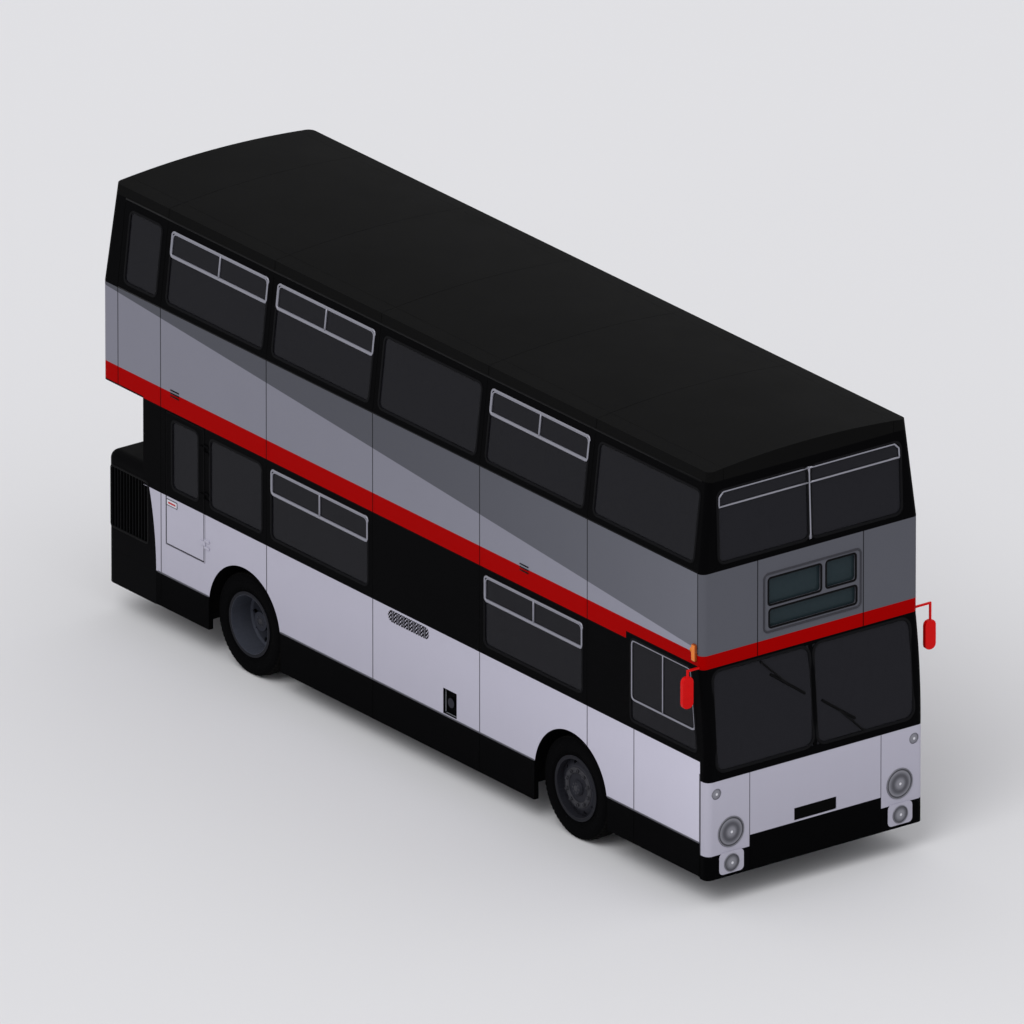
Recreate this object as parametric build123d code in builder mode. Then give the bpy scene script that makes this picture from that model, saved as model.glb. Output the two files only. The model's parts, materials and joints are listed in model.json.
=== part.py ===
"""Rear-engined double-decker bus with a front entrance, in millimetres.

+X is the front of the bus, +Y its nearside with the entrance, -Y its offside with
the driver, and +Z is up. The origin is on the ground, at the middle of the length.
"""
import os
from math import cos, pi, radians, sin

from build123d import *

os.makedirs("parts", exist_ok=True)

# ---- driving dimensions -------------------------------------------------------------
# Lengths along the bus, from the origin.
front_x = 4676  # lower front panel
upper_front_x = 4594  # upper front panel, below its windows
rear_x = -4676  # rear of the upper deck
rear_wall_x = -4041  # rear wall of the lower saloon
bustle_x = -4611  # rear of the engine bustle
front_axle_x = 2593
rear_axle_x = -2459
front_seam_x = 4527  # where the side panels meet the upper front panel
dash_seam_x = 4567  # where they meet the lower front panel
rear_seam_x = -4432  # where they meet the upper rear panel
front_rake = 40  # the upper front leans back by this much at the eaves
rear_rake = 60

# Widths.
body_width = 2500
eaves_width = 2276
corner_radius = 65
wall = 50  # thickness of every wall panel

# Heights.
skirt_z = 220  # lower edge between the axles
overhang_z = 280  # lower edge behind and ahead of them
front_skirt_z = 262
deck_joint_z = 2284  # lower panels end and upper ones begin
cab_joint_z = 2354  # the same, over the cab window
front_joint_z = 2325  # the same, over the windscreen
waist_z = 3274  # upper side walls lean inwards from here
cant_z = 4140  # roof begins
eaves_z = 4237
crown_z = 4300
screen_foot_z = 1275  # the front curves back from here
screen_back = 85  # by this much at the joint with the upper deck
saloon_floor_z = 650
platform_z = 360
upper_floor_z = 2390
floor_thickness = 50

# Windows.
bay_start_x = -3763  # middle of the first window pillar
bay_pitch = 1652
pillar = 150
upper_sill_z = 3345
upper_head_z = 4040
lower_sill_z = 1515
lower_head_z = 2205
window_radius = 60
vent_depth_upper = 240
vent_depth_lower = 245
frame_bar = 22  # width of a light-metal window bar
glass_inset = 8  # outside face of the glass, behind the wall's
glass_thickness = 6
glazing_gap = 0.3

# Wheels.
tyre_radius = 500
tyre_width = 280
rim_radius = 300
wheel_inset = 50  # outer face of a tyre, inside the wall's
twin_gap = 40
arch_radius = 560
arch_z = 520
front_box_radius = 610  # inside radius of the front wheel boxes
rear_box_radius = 590
box_wall = 20
front_box_depth = 620  # reach of the wheel boxes in from the body side
rear_box_depth = 665
hand_holes = 10

# Steering and axles.
kingpin_y = 940
kingpin_radius = 22
running_gap = 0.3
stub_radius = 30
rail_y = 415  # middle of a chassis rail
rail_width = 70
rail_top_z = saloon_floor_z - floor_thickness
spring_width = 70
front_spring_length = 1000
rear_spring_length = 1300

# Doors and covers.
door_gap = 6
entrance_rear_x = 3280
entrance_front_x = 4480
entrance_head_z = 2245
door_frame = 75  # width of the entrance's own frame, behind the doorway
leaf_thickness = 30
leaf_tail = 30  # what a leaf reaches past its pivot
leaf_swing = 48  # jamb to pivot
leaf_gap = 6
leaf_drop = 12  # foot of a leaf, over the platform
leaf_set_back = 4  # outer face of a leaf, inside its pivot
pivot_set_back = 28  # pivot, inside the body's face
pivot_radius = 12
pin_reach = 28
exit_rear_x = -3692
exit_front_x = -3071
exit_sill_z = 928
exit_head_z = 2276
hinge_stand_off = 5
rear_exit_width = 1200
rear_exit_sill_z = 3310
rear_exit_head_z = 4030
cover_width = 1980
cover_foot_z = 420
cover_head_z = 1480
bustle_top_z = 1600
bustle_foot_z = 274
bustle_wall = 40

# Cab.
wheel_tilt = 25  # steering column, from upright
wheel_hub = (4060, -720, 1200)
wheel_ring_radius = 240

# ---- values that follow from them ---------------------------------------------------
half = body_width / 2
inner_half = half - wall
hub_z = tyre_radius
crown_rise = crown_z - eaves_z
front_seam_top_x = front_seam_x - front_rake * (cant_z - waist_z) / (eaves_z - waist_z)
roof_bend = ((eaves_width / 2) ** 2 + crown_rise**2) / (2 * crown_rise)  # radius
screen_rise = front_joint_z - screen_foot_z
screen_bend = (screen_rise**2 + screen_back**2) / (2 * screen_back)  # radius
bays = [bay_start_x + bay_pitch * i for i in range(5)]
tyre_outer_y = half - wheel_inset
tyre_middle_y = tyre_outer_y - tyre_width / 2
twin_inner_y = tyre_outer_y - tyre_width - twin_gap
pivot_y = half - pivot_set_back
rear_pivot_x = entrance_rear_x + leaf_swing
front_pivot_x = entrance_front_x - leaf_swing
forwards = (1, 0, 0)
backwards = (-1, 0, 0)
parts = {}


def eased_corners(width, height, radius):
    """Outline of a rectangle whose corners are eased in three straight steps."""
    near, far = radius * (1 - sin(radians(60))), radius * (1 - cos(radians(60)))
    points = []
    for sx, sy in ((1, 1), (-1, 1), (-1, -1), (1, -1)):
        corner = [(0, radius), (near, far), (far, near), (radius, 0)]
        if sx * sy < 0:
            corner.reverse()
        points += [(sx * (width / 2 - a), sy * (height / 2 - b)) for a, b in corner]
    with BuildLine() as line:
        Polyline(*points, close=True)
    return make_face(line.edges(), mode=Mode.PRIVATE)


def eased(width, height, radius, mode=Mode.ADD):
    """Rectangle with eased corners, at the places where the sketch is working."""
    add(eased_corners(width, height, radius), mode=mode)


def keep(name, built):
    """Label a finished piece and remember it under its name."""
    built.part.label = name
    parts[name] = built.part


# ---- hinges -------------------------------------------------------------------------
hinge_axis_out = 5  # hinge pins of the doors and the cover, outside the panels' faces
hinge_radius = 9
hinge_pin = 5
hinge_barrel = 20  # half the length of the moving barrel
hinge_lug = 24
hinge_strap = 70
hinge_play = 1
pin_gap = 0.05


def hinge_cut(plane, low, high, radius):
    """Clear a round space about a hinge's pin, from low to high along it."""
    with BuildSketch(plane.offset(low)) as space:
        Circle(radius)
    extrude(space.sketch, amount=high - low, mode=Mode.SUBTRACT)


def hinge_solid(plane, low, high, radius, strap):
    """A round boss about a hinge's pin, with a strap along the plane's x if it has one."""
    with BuildSketch(plane.offset(low)) as boss:
        RegularPolygon(radius, 12)
        if strap:
            with Locations((strap / 2, 0)):
                Rectangle(strap, 2 * (hinge_axis_out + 1))
    extrude(boss.sketch, amount=high - low)


def add_barrel(plane, strap=hinge_strap, radius=hinge_radius):
    """The moving half of a hinge: a bored barrel between the other half's lugs."""
    end = hinge_barrel + hinge_play
    hinge_cut(plane, end - hinge_play, end + hinge_lug + hinge_play, radius + hinge_play)
    hinge_cut(plane, -end - hinge_lug - hinge_play, hinge_play - end, radius + hinge_play)
    hinge_solid(plane, -hinge_barrel, hinge_barrel, radius, strap)
    hinge_cut(plane, -end, end, hinge_pin + pin_gap)


def add_lugs(plane, strap=hinge_strap, radius=hinge_radius):
    """The other half of a hinge: two lugs that hold its pin."""
    end = hinge_barrel + hinge_play
    hinge_cut(plane, -end, end, radius + hinge_play)
    hinge_solid(plane, end, end + hinge_lug, radius, strap)
    hinge_solid(plane, -end - hinge_lug, -end, radius, strap)
    with BuildSketch(plane.offset(-end - hinge_lug)) as pin:
        Circle(hinge_pin)
    extrude(pin.sketch, amount=2 * (end + hinge_lug))


def hinges(points, towards, axis):
    """Planes of a door's hinges, whose x points along a strap."""
    return [Plane(origin=point, x_dir=towards, z_dir=axis) for point in points]


# ---- body shells --------------------------------------------------------------------
def upper_solid(inset):
    """The upper deck and roof as one solid, drawn in by inset from the outside."""
    low = deck_joint_z - (wall if inset >= wall else 0)
    top = crown_z + 2 * wall
    rise = (top - waist_z) / (eaves_z - waist_z)
    back, ahead = rear_x + inset, upper_front_x - inset
    radius = max(corner_radius - inset, 5)
    with BuildPart() as solid:
        for z, share in ((low, 0), (waist_z, 0), (top, rise)):
            x0 = back + share * rear_rake
            x1 = ahead - share * front_rake
            width = 2 * (half - inset) - 2 * share * (half - eaves_width / 2)
            with BuildSketch(Plane.XY.offset(z)):
                with Locations(((x0 + x1) / 2, 0)):
                    RectangleRounded(x1 - x0, width, radius)
        loft(ruled=True)
        edge_z = crown_z - inset - roof_bend + (roof_bend**2 - half**2) ** 0.5
        with BuildSketch(Plane.YZ.offset(2 * rear_x)):
            with BuildLine():
                ThreePointArc((-half, edge_z), (0, crown_z - inset), (half, edge_z))
                Polyline((half, edge_z), (half, 0), (-half, 0), (-half, edge_z))
            make_face()
        crowned = extrude(amount=4 * front_x, mode=Mode.PRIVATE)
        add(crowned, mode=Mode.INTERSECT)
    return solid.part


def curve_back(height):
    """How far the front has curved back at a height over the windscreen's foot."""
    return screen_bend - (screen_bend**2 - height**2) ** 0.5


def front_profile(inset, top):
    """Side view of the lower deck, with its front upright and then curving back."""
    ahead = front_x - inset
    with BuildSketch(Plane.XZ.offset(inset - half)) as profile:
        with BuildLine():
            Line((rear_wall_x, top), (rear_wall_x, 0))
            Line((rear_wall_x, 0), (ahead, 0))
            Line((ahead, 0), (ahead, screen_foot_z))
            ThreePointArc(
                (ahead, screen_foot_z),
                (ahead - curve_back((top - screen_foot_z) / 2), (top + screen_foot_z) / 2),
                (ahead - curve_back(top - screen_foot_z), top),
            )
            Line((ahead - curve_back(top - screen_foot_z), top), (rear_wall_x, top))
        make_face()
    return profile.sketch


def lower_solid(inset):
    """The lower deck as one solid, drawn in by inset from the outside."""
    top = cab_joint_z + (wall if inset >= wall else 0)
    radius = max(corner_radius - inset, 5)
    with BuildPart() as solid:
        extrude(front_profile(inset, top), amount=2 * (half - inset), dir=(0, -1, 0))
        corners = [
            edge
            for edge in solid.edges()
            if edge.bounding_box().size.Z > wall * 2 and edge.center().X > dash_seam_x - wall * 2
        ]
        fillet(corners, radius)
    return solid.part


def layer(solid, inset, depth):
    """A thin skin of a body shell, for glass and frames."""
    with BuildPart() as skin:
        add(solid(inset))
        add(solid(inset + depth), mode=Mode.SUBTRACT)
    return skin.part


with BuildPart() as upper_shell:
    add(upper_solid(0))
    add(upper_solid(wall), mode=Mode.SUBTRACT)

with BuildPart() as lower_shell:
    add(lower_solid(0))
    add(lower_solid(wall), mode=Mode.SUBTRACT)


# ---- window openings ----------------------------------------------------------------
def bay_window(bay, sill, head):
    """Low and high corners of the window between two pillars."""
    x0 = bays[bay] + pillar / 2
    x1 = (bays[bay + 1] if bay + 1 < len(bays) else front_seam_x) - pillar / 2
    return (x0, sill, x1, head)


quarter_window = (-4345, upper_sill_z, -3845, upper_head_z)
upper_windows = [quarter_window] + [
    bay_window(bay, upper_sill_z, upper_head_z) for bay in range(5)
]
rear_bay_window = (-2994, lower_sill_z, -2181, lower_head_z)
exit_window = (-3590, lower_sill_z, -3174, lower_head_z)
offside_lower_windows = [
    rear_bay_window,
    bay_window(1, lower_sill_z, lower_head_z),
    bay_window(3, lower_sill_z, lower_head_z),
]
nearside_lower_windows = [bay_window(bay, lower_sill_z, lower_head_z) for bay in range(4)]
vent_bays_upper = (0, 1, 3)
vent_bays_lower = (1, 3)
cab_window_foot_z = 1495
cab_window_head_z = 2305
cab_window_rear_x = 3509
cab_window_points = [
    (cab_window_rear_x, cab_window_foot_z),
    (dash_seam_x - 44, cab_window_foot_z),
    (front_seam_x - 93, cab_window_head_z),
    (cab_window_rear_x, cab_window_head_z),
]


def window_sketch(windows, shrink=0):
    """Window outlines with eased corners on the side of the body, drawn in by shrink."""
    with BuildSketch(Plane.XZ) as sketch:
        for x0, z0, x1, z1 in windows:
            with Locations(((x0 + x1) / 2, (z0 + z1) / 2)):
                add(
                    eased_corners(
                        x1 - x0 - 2 * shrink, z1 - z0 - 2 * shrink, window_radius - shrink
                    )
                )
    return sketch.sketch


def cab_window_sketch(shrink=0):
    """The cab's side window, whose front edge follows the windscreen pillar."""
    with BuildSketch(Plane.XZ) as sketch:
        with BuildLine():
            Polyline(*cab_window_points, close=True)
        make_face()
        fillet(sketch.vertices(), window_radius)
        if shrink:
            offset(amount=-shrink, mode=Mode.REPLACE)
    return sketch.sketch


reach = half + wall  # from the middle line to past the body side


near_side = eaves_width / 2 - 2 * wall  # from the middle line to inside both side walls


def across(side):
    """The way out through the body side: -1 is offside, 1 is nearside."""
    return (0, side, 0)


def through_side(sketch, side, mode=Mode.ADD):
    """Extrude each outline of a side view out through one side wall."""
    for face in sketch.faces():
        start = face.moved(Location((0, side * near_side, 0)))
        extrude(start, amount=reach - near_side, dir=across(side), mode=mode)


# ---- upper deck sides ---------------------------------------------------------------
cab_step_x = 3437  # the offside joint between the decks steps up ahead of here


def upper_side(side):
    """One upper side wall, from the rear panel to the front one, up to the roof."""
    with BuildSketch(Plane.XZ) as outline:
        with BuildLine():
            Polyline(
                (rear_seam_x, deck_joint_z),
                (front_seam_x, deck_joint_z),
                (front_seam_x, waist_z),
                (front_seam_top_x, cant_z),
                (rear_seam_x, cant_z),
                close=True,
            )
        make_face()
        if side < 0:
            with Locations(((cab_step_x + front_seam_x) / 2, deck_joint_z)):
                Rectangle(
                    front_seam_x - cab_step_x,
                    2 * (cab_joint_z - deck_joint_z),
                    mode=Mode.SUBTRACT,
                )
        add(window_sketch(upper_windows), mode=Mode.SUBTRACT)
    with BuildPart() as panel:
        through_side(outline.sketch, side)
        add(upper_shell.part, mode=Mode.INTERSECT)
    return panel


keep("offside_upper_side", upper_side(-1))
keep("nearside_upper_side", upper_side(1))

# ---- where the doors and the cover hinge ----------------------------------------------
exit_hinge_z = (exit_sill_z + 200, (exit_sill_z + exit_head_z) / 2, exit_head_z - 200)
exit_hinge_points = [(exit_front_x, -half - hinge_axis_out, z) for z in exit_hinge_z]
rear_exit_lean = rear_rake * (rear_exit_head_z - waist_z) / (eaves_z - waist_z)
rear_hinge_x = rear_x + rear_exit_lean - hinge_axis_out
rear_hinge_points = [(rear_hinge_x, y, rear_exit_head_z) for y in (-400, 400)]
cover_hinge_points = [
    (bustle_x - hinge_axis_out, y, cover_head_z) for y in (-cover_width / 3, cover_width / 3)
]

# ---- lower deck sides ---------------------------------------------------------------
seam_foot_x = -3841  # where the bustle's side meets the lower side panel, at the skirt
seam_top_x = -3947
seam_bend_z = 600
seam_top_z = 1415


def lower_side_outline(side):
    """Outline of a lower side wall, with its wheel arches cut."""
    if side < 0:
        step = [(front_seam_x, front_joint_z), (front_seam_x, cab_joint_z)]
        step += [(cab_step_x, cab_joint_z)]
        step += [(cab_step_x, deck_joint_z)]
    else:
        share = (deck_joint_z - screen_foot_z) / (front_joint_z - screen_foot_z)
        step = [(dash_seam_x - share * (dash_seam_x - front_seam_x), deck_joint_z)]
    with BuildSketch(Plane.XZ) as outline:
        with BuildLine():
            Polyline(
                (seam_foot_x, seam_bend_z),
                (seam_foot_x, overhang_z),
                (rear_axle_x - arch_radius, overhang_z),
                (rear_axle_x, skirt_z),
                (front_axle_x, skirt_z),
                (front_axle_x + arch_radius, overhang_z),
                (dash_seam_x, overhang_z),
                (dash_seam_x, screen_foot_z),
                *step,
                (rear_wall_x, deck_joint_z),
                (rear_wall_x, seam_top_z),
                (seam_top_x, seam_top_z),
            )
            TangentArc((seam_foot_x, seam_bend_z), (seam_top_x, seam_top_z), tangent=(0, 1))
        make_face()
        with Locations((front_axle_x, arch_z), (rear_axle_x, arch_z)):
            Circle(arch_radius, mode=Mode.SUBTRACT)
        with Locations((front_axle_x, skirt_z), (rear_axle_x, skirt_z)):
            Rectangle(2 * arch_radius, 2 * (arch_z - skirt_z), mode=Mode.SUBTRACT)
    return outline.sketch


filler_x = 734
filler_z = 757
filler_width = 210
filler_height = 253
filler_depth = 38
cap_radius = 50
grille_x = 94
grille_z = 1338
grille_length = 630
grille_height = 115
grille_slots = 24
slot_width = 12

with BuildPart() as offside_lower_side:
    extrude(lower_side_outline(-1), amount=half, dir=across(-1))
    with BuildSketch(Plane.XZ) as inside_face:
        Rectangle(4 * front_x, 4 * front_x)
    extrude(amount=inner_half, mode=Mode.SUBTRACT)
    through_side(window_sketch(offside_lower_windows), -1, Mode.SUBTRACT)
    through_side(cab_window_sketch(), -1, Mode.SUBTRACT)
    with BuildSketch(Plane.XZ) as exit_opening:
        with Locations(((exit_rear_x + exit_front_x) / 2, (exit_sill_z + exit_head_z) / 2)):
            Rectangle(exit_front_x - exit_rear_x, exit_head_z - exit_sill_z)
    extrude(amount=reach, dir=across(-1), mode=Mode.SUBTRACT)
    with BuildSketch(Plane.XZ.offset(half)) as filler_recess:
        with Locations((filler_x, filler_z)):
            eased(filler_width, filler_height, 12)
            Circle(cap_radius, mode=Mode.SUBTRACT)
    extrude(amount=-filler_depth, mode=Mode.SUBTRACT)
    with BuildSketch(Plane.XZ.offset(half)) as cap_face:
        with Locations((filler_x, filler_z)):
            Circle(cap_radius)
    extrude(amount=-12, mode=Mode.SUBTRACT)
    with BuildSketch(Plane.XZ.offset(half)) as grille_cut:
        slot_pitch = (grille_length - grille_height / 2) / (grille_slots - 1)
        for i in range(grille_slots):
            along = (i - (grille_slots - 1) / 2) * slot_pitch
            ends = max(0.0, abs(along) + grille_height / 2 - grille_length / 2)
            tall = 2 * ((grille_height / 2) ** 2 - ends**2) ** 0.5
            with Locations((grille_x + along, grille_z)):
                Rectangle(slot_width, tall)
    extrude(amount=-2 * wall, mode=Mode.SUBTRACT)
    for plane in hinges(exit_hinge_points, forwards, (0, 0, 1)):
        add_lugs(plane)
keep("offside_lower_side", offside_lower_side)

with BuildPart() as nearside_lower_side:
    extrude(lower_side_outline(1), amount=half, dir=across(1))
    with BuildSketch(Plane.XZ):
        Rectangle(4 * front_x, 4 * front_x)
    extrude(amount=-inner_half, mode=Mode.SUBTRACT)
    through_side(window_sketch(nearside_lower_windows), 1, Mode.SUBTRACT)
    with BuildSketch(Plane.XZ):
        with Locations(
            ((entrance_rear_x + entrance_front_x) / 2, (platform_z + entrance_head_z) / 2)
        ):
            Rectangle(entrance_front_x - entrance_rear_x, entrance_head_z - platform_z)
    extrude(amount=reach, dir=across(1), mode=Mode.SUBTRACT)
    for foot_z in (platform_z - pin_reach - hinge_play, entrance_head_z):
        with BuildSketch(Plane.XY.offset(foot_z)):
            with Locations((rear_pivot_x, pivot_y), (front_pivot_x, pivot_y)):
                Circle(pivot_radius + pin_gap)
        extrude(amount=pin_reach + hinge_play, mode=Mode.SUBTRACT)
    with BuildSketch(Plane.XZ):
        with Locations((entrance_rear_x - door_frame, front_x / 2)):
            Rectangle(2 * glazing_gap, front_x)
    extrude(amount=reach, dir=across(1), mode=Mode.SUBTRACT)
keep("nearside_lower_side", nearside_lower_side)

# ---- front panels -------------------------------------------------------------------
screen_half = 1140
screen_foot = 1315
screen_head = 2290
screen_post = 40
screen_radius = 110
headlamp_y = 974
headlamp_z = 699
headlamp_radius = 140
fog_z = 396
fog_radius = 80
fog_block_width = 280
fog_block_foot_z = 296
fog_block_head_z = 506
fog_block_proud = 12
side_lamp_y = 1140
side_lamp_z = 1107
side_lamp_radius = 55
plate_width = 488
plate_foot_z = 627
plate_head_z = 750
plate_hole_radius = 3
plate_hole_spacing = 400


def screen_sketch(shrink=0):
    """Both windscreen panes, either side of the middle post."""
    width = screen_half - screen_post / 2
    with BuildSketch(Plane.YZ) as sketch:
        with Locations((0, (screen_foot + screen_head) / 2)):
            eased(
                2 * (screen_half - shrink),
                screen_head - screen_foot - 2 * shrink,
                screen_radius - shrink,
            )
            Rectangle(screen_post + 2 * shrink, 2 * width, mode=Mode.SUBTRACT)
    return sketch.sketch


with BuildPart() as lower_front_panel:
    with BuildSketch(Plane.XZ):
        with BuildLine():
            Polyline(
                (dash_seam_x, front_skirt_z),
                (2 * front_x, front_skirt_z),
                (2 * front_x, front_joint_z),
                (front_seam_x, front_joint_z),
                (dash_seam_x, screen_foot_z),
                close=True,
            )
        make_face()
    extrude(amount=body_width, both=True)
    add(lower_shell.part, mode=Mode.INTERSECT)
    extrude(screen_sketch(), amount=2 * front_x, dir=forwards, mode=Mode.SUBTRACT)
    with BuildSketch(Plane.YZ.offset(front_x - wall)):
        with Locations((headlamp_y, 0), (-headlamp_y, 0)):
            with Locations((0, (fog_block_foot_z + fog_block_head_z) / 2)):
                eased(fog_block_width, fog_block_head_z - fog_block_foot_z, 40)
    extrude(amount=wall + fog_block_proud)
    with BuildSketch(Plane.YZ):
        for side in (-1, 1):
            with Locations((side * headlamp_y, headlamp_z)):
                Circle(headlamp_radius)
            with Locations((side * headlamp_y, fog_z)):
                Circle(fog_radius)
            with Locations((side * side_lamp_y, side_lamp_z)):
                Circle(side_lamp_radius)
    extrude(amount=2 * front_x, mode=Mode.SUBTRACT)
    with BuildSketch(Plane.YZ.offset(front_x)):
        with Locations((0, (plate_foot_z + plate_head_z) / 2)):
            Rectangle(plate_width, plate_head_z - plate_foot_z)
    extrude(amount=-8, mode=Mode.SUBTRACT)
    with BuildSketch(Plane.YZ.offset(front_x)):
        with Locations((0, (plate_foot_z + plate_head_z) / 2)):
            with GridLocations(plate_hole_spacing, 1, 2, 1):
                Circle(plate_hole_radius)
    extrude(amount=-2 * wall, mode=Mode.SUBTRACT)
keep("lower_front_panel", lower_front_panel)

blind_left = (-487, 2790, 125, 3060)
blind_right = (178, 2800, 524, 3070)
blind_low = (-478, 2566, 533, 2750)
blinds = [blind_left, blind_right, blind_low]
upper_screen_half = 1055
upper_screen_foot = 3335
upper_screen_head = 4040
upper_screen_post = 30


def blind_sketch(shrink=0):
    """The three apertures of the destination box."""
    with BuildSketch(Plane.YZ) as sketch:
        for y0, z0, y1, z1 in blinds:
            with Locations(((y0 + y1) / 2, (z0 + z1) / 2)):
                eased(y1 - y0 - 2 * shrink, z1 - z0 - 2 * shrink, 30 - shrink)
    return sketch.sketch


def upper_screen_sketch(shrink=0):
    """Both upper front panes, either side of their middle post."""
    height = upper_screen_head - upper_screen_foot - 2 * shrink
    with BuildSketch(Plane.YZ) as sketch:
        with Locations((0, (upper_screen_foot + upper_screen_head) / 2)):
            eased(2 * (upper_screen_half - shrink), height, 80 - shrink)
            Rectangle(upper_screen_post + 2 * shrink, 2 * height, mode=Mode.SUBTRACT)
    return sketch.sketch


with BuildPart() as upper_front_panel:
    with BuildSketch(Plane.XZ):
        with BuildLine():
            Polyline(
                (front_seam_x, front_joint_z),
                (2 * front_x, front_joint_z),
                (2 * front_x, cant_z),
                (front_seam_top_x, cant_z),
                (front_seam_x, waist_z),
                close=True,
            )
        make_face()
    extrude(amount=body_width, both=True)
    add(upper_shell.part, mode=Mode.INTERSECT)
    extrude(upper_screen_sketch(), amount=2 * front_x, dir=forwards, mode=Mode.SUBTRACT)
    extrude(blind_sketch(), amount=2 * front_x, dir=forwards, mode=Mode.SUBTRACT)
keep("upper_front_panel", upper_front_panel)

# ---- rear panels --------------------------------------------------------------------
rear_light_width = 340
rear_light_y = rear_exit_width / 2 + 90 + rear_light_width / 2


def rear_lights_sketch(shrink=0):
    """The two fixed panes beside the upper rear exit."""
    middle = (rear_exit_sill_z + rear_exit_head_z) / 2
    height = rear_exit_head_z - rear_exit_sill_z - 60
    with BuildSketch(Plane.YZ) as sketch:
        with Locations((rear_light_y, middle), (-rear_light_y, middle)):
            eased(
                rear_light_width - 2 * shrink, height - 2 * shrink, window_radius - shrink
            )
    return sketch.sketch


def rear_exit_sketch(shrink=0):
    """Outline of the upper rear exit, drawn in by shrink."""
    with BuildSketch(Plane.YZ) as sketch:
        with Locations((0, (rear_exit_sill_z + rear_exit_head_z) / 2)):
            Rectangle(
                rear_exit_width - 2 * shrink, rear_exit_head_z - rear_exit_sill_z - 2 * shrink
            )
    return sketch.sketch


with BuildPart() as upper_rear_panel:
    with BuildSketch(Plane.XZ):
        with BuildLine():
            Polyline(
                (rear_seam_x, deck_joint_z),
                (2 * rear_x, deck_joint_z),
                (2 * rear_x, cant_z),
                (rear_seam_x, cant_z),
                close=True,
            )
        make_face()
    extrude(amount=body_width, both=True)
    add(upper_shell.part, mode=Mode.INTERSECT)
    extrude(rear_exit_sketch(), amount=2 * front_x, dir=backwards, mode=Mode.SUBTRACT)
    extrude(rear_lights_sketch(), amount=2 * front_x, dir=backwards, mode=Mode.SUBTRACT)
    for plane in hinges(rear_hinge_points, (0, 0, 1), (0, 1, 0)):
        add_lugs(plane)
keep("upper_rear_panel", upper_rear_panel)

with BuildPart() as rear_exit_door:
    extrude(rear_exit_sketch(door_gap), amount=2 * front_x, dir=backwards)
    add(upper_shell.part, mode=Mode.INTERSECT)
    with BuildSketch(Plane.YZ):
        with Locations((0, (rear_exit_sill_z + rear_exit_head_z) / 2)):
            eased(
                rear_exit_width - 180, rear_exit_head_z - rear_exit_sill_z - 160, window_radius
            )
    extrude(amount=2 * rear_x, mode=Mode.SUBTRACT)
    for plane in hinges(rear_hinge_points, (0, 0, -1), (0, 1, 0)):
        add_barrel(plane)
keep("rear_exit_door", rear_exit_door)

rear_window_half = 900
rear_window_foot_z = 1720
rear_window_head_z = 2180

with BuildPart() as lower_rear_panel:
    with BuildSketch(Plane.YZ.offset(rear_wall_x)):
        with Locations((0, (saloon_floor_z - floor_thickness + deck_joint_z) / 2)):
            Rectangle(2 * inner_half, deck_joint_z - saloon_floor_z + floor_thickness)
        with Locations((0, (rear_window_foot_z + rear_window_head_z) / 2)):
            eased(
                2 * rear_window_half,
                rear_window_head_z - rear_window_foot_z,
                window_radius,
                mode=Mode.SUBTRACT,
            )
    extrude(amount=wall)
keep("lower_rear_panel", lower_rear_panel)

# ---- engine bustle and its cover ----------------------------------------------------
bustle_edge = 90
side_grille = (-4536, 853, -3978, 1442)
grille_slats = 12
cover_louvres = 9

with BuildPart() as engine_bustle:
    with BuildSketch(Plane.XZ):
        with BuildLine():
            Polyline(
                (seam_foot_x - 2, seam_bend_z),
                (seam_foot_x - 2, bustle_foot_z),
                (bustle_x, bustle_foot_z),
                (bustle_x, bustle_top_z),
                (rear_wall_x, bustle_top_z),
                (rear_wall_x, seam_top_z - 2),
                (seam_top_x - 2, seam_top_z - 2),
            )
            TangentArc(
                (seam_foot_x - 2, seam_bend_z), (seam_top_x - 2, seam_top_z - 2), tangent=(0, 1)
            )
        make_face()
    extrude(amount=half, both=True)
    top_edges = [
        edge
        for edge in engine_bustle.edges()
        if edge.center().Z > bustle_top_z - 1 and edge.center().X < rear_wall_x - 1
    ]
    upright_edges = [
        edge
        for edge in engine_bustle.edges().filter_by(Axis.Z)
        if edge.center().X < bustle_x + 1
    ]
    fillet(top_edges + upright_edges, bustle_edge)
    with BuildSketch(Plane.XY):
        with Locations(((bustle_x + bustle_wall + rear_wall_x) / 2, 0)):
            Rectangle(rear_wall_x - bustle_x - bustle_wall, 2 * (half - bustle_wall))
    extrude(amount=bustle_top_z - bustle_wall, mode=Mode.SUBTRACT)
    with BuildSketch(Plane.XY):
        with Locations(((rear_wall_x + seam_foot_x) / 2, 0)):
            Rectangle(seam_foot_x - rear_wall_x, 2 * inner_half)
    extrude(amount=bustle_top_z, mode=Mode.SUBTRACT)
    with BuildSketch(Plane.YZ.offset(bustle_x + bustle_wall + 1)):
        with Locations((0, (cover_foot_z + cover_head_z) / 2)):
            Rectangle(cover_width, cover_head_z - cover_foot_z)
    extrude(amount=-2 * bustle_wall, mode=Mode.SUBTRACT)
    with BuildSketch(Plane.XZ):
        x0, z0, x1, z1 = side_grille
        slat_pitch = (x1 - x0) / grille_slats
        for i in range(grille_slats):
            with Locations((x0 + slat_pitch * (i + 0.5), (z0 + z1) / 2)):
                Rectangle(slat_pitch * 0.55, z1 - z0)
    extrude(amount=body_width, both=True, mode=Mode.SUBTRACT)
    for plane in hinges(cover_hinge_points, (0, 0, 1), (0, 1, 0)):
        add_lugs(plane)
keep("engine_bustle", engine_bustle)

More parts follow.
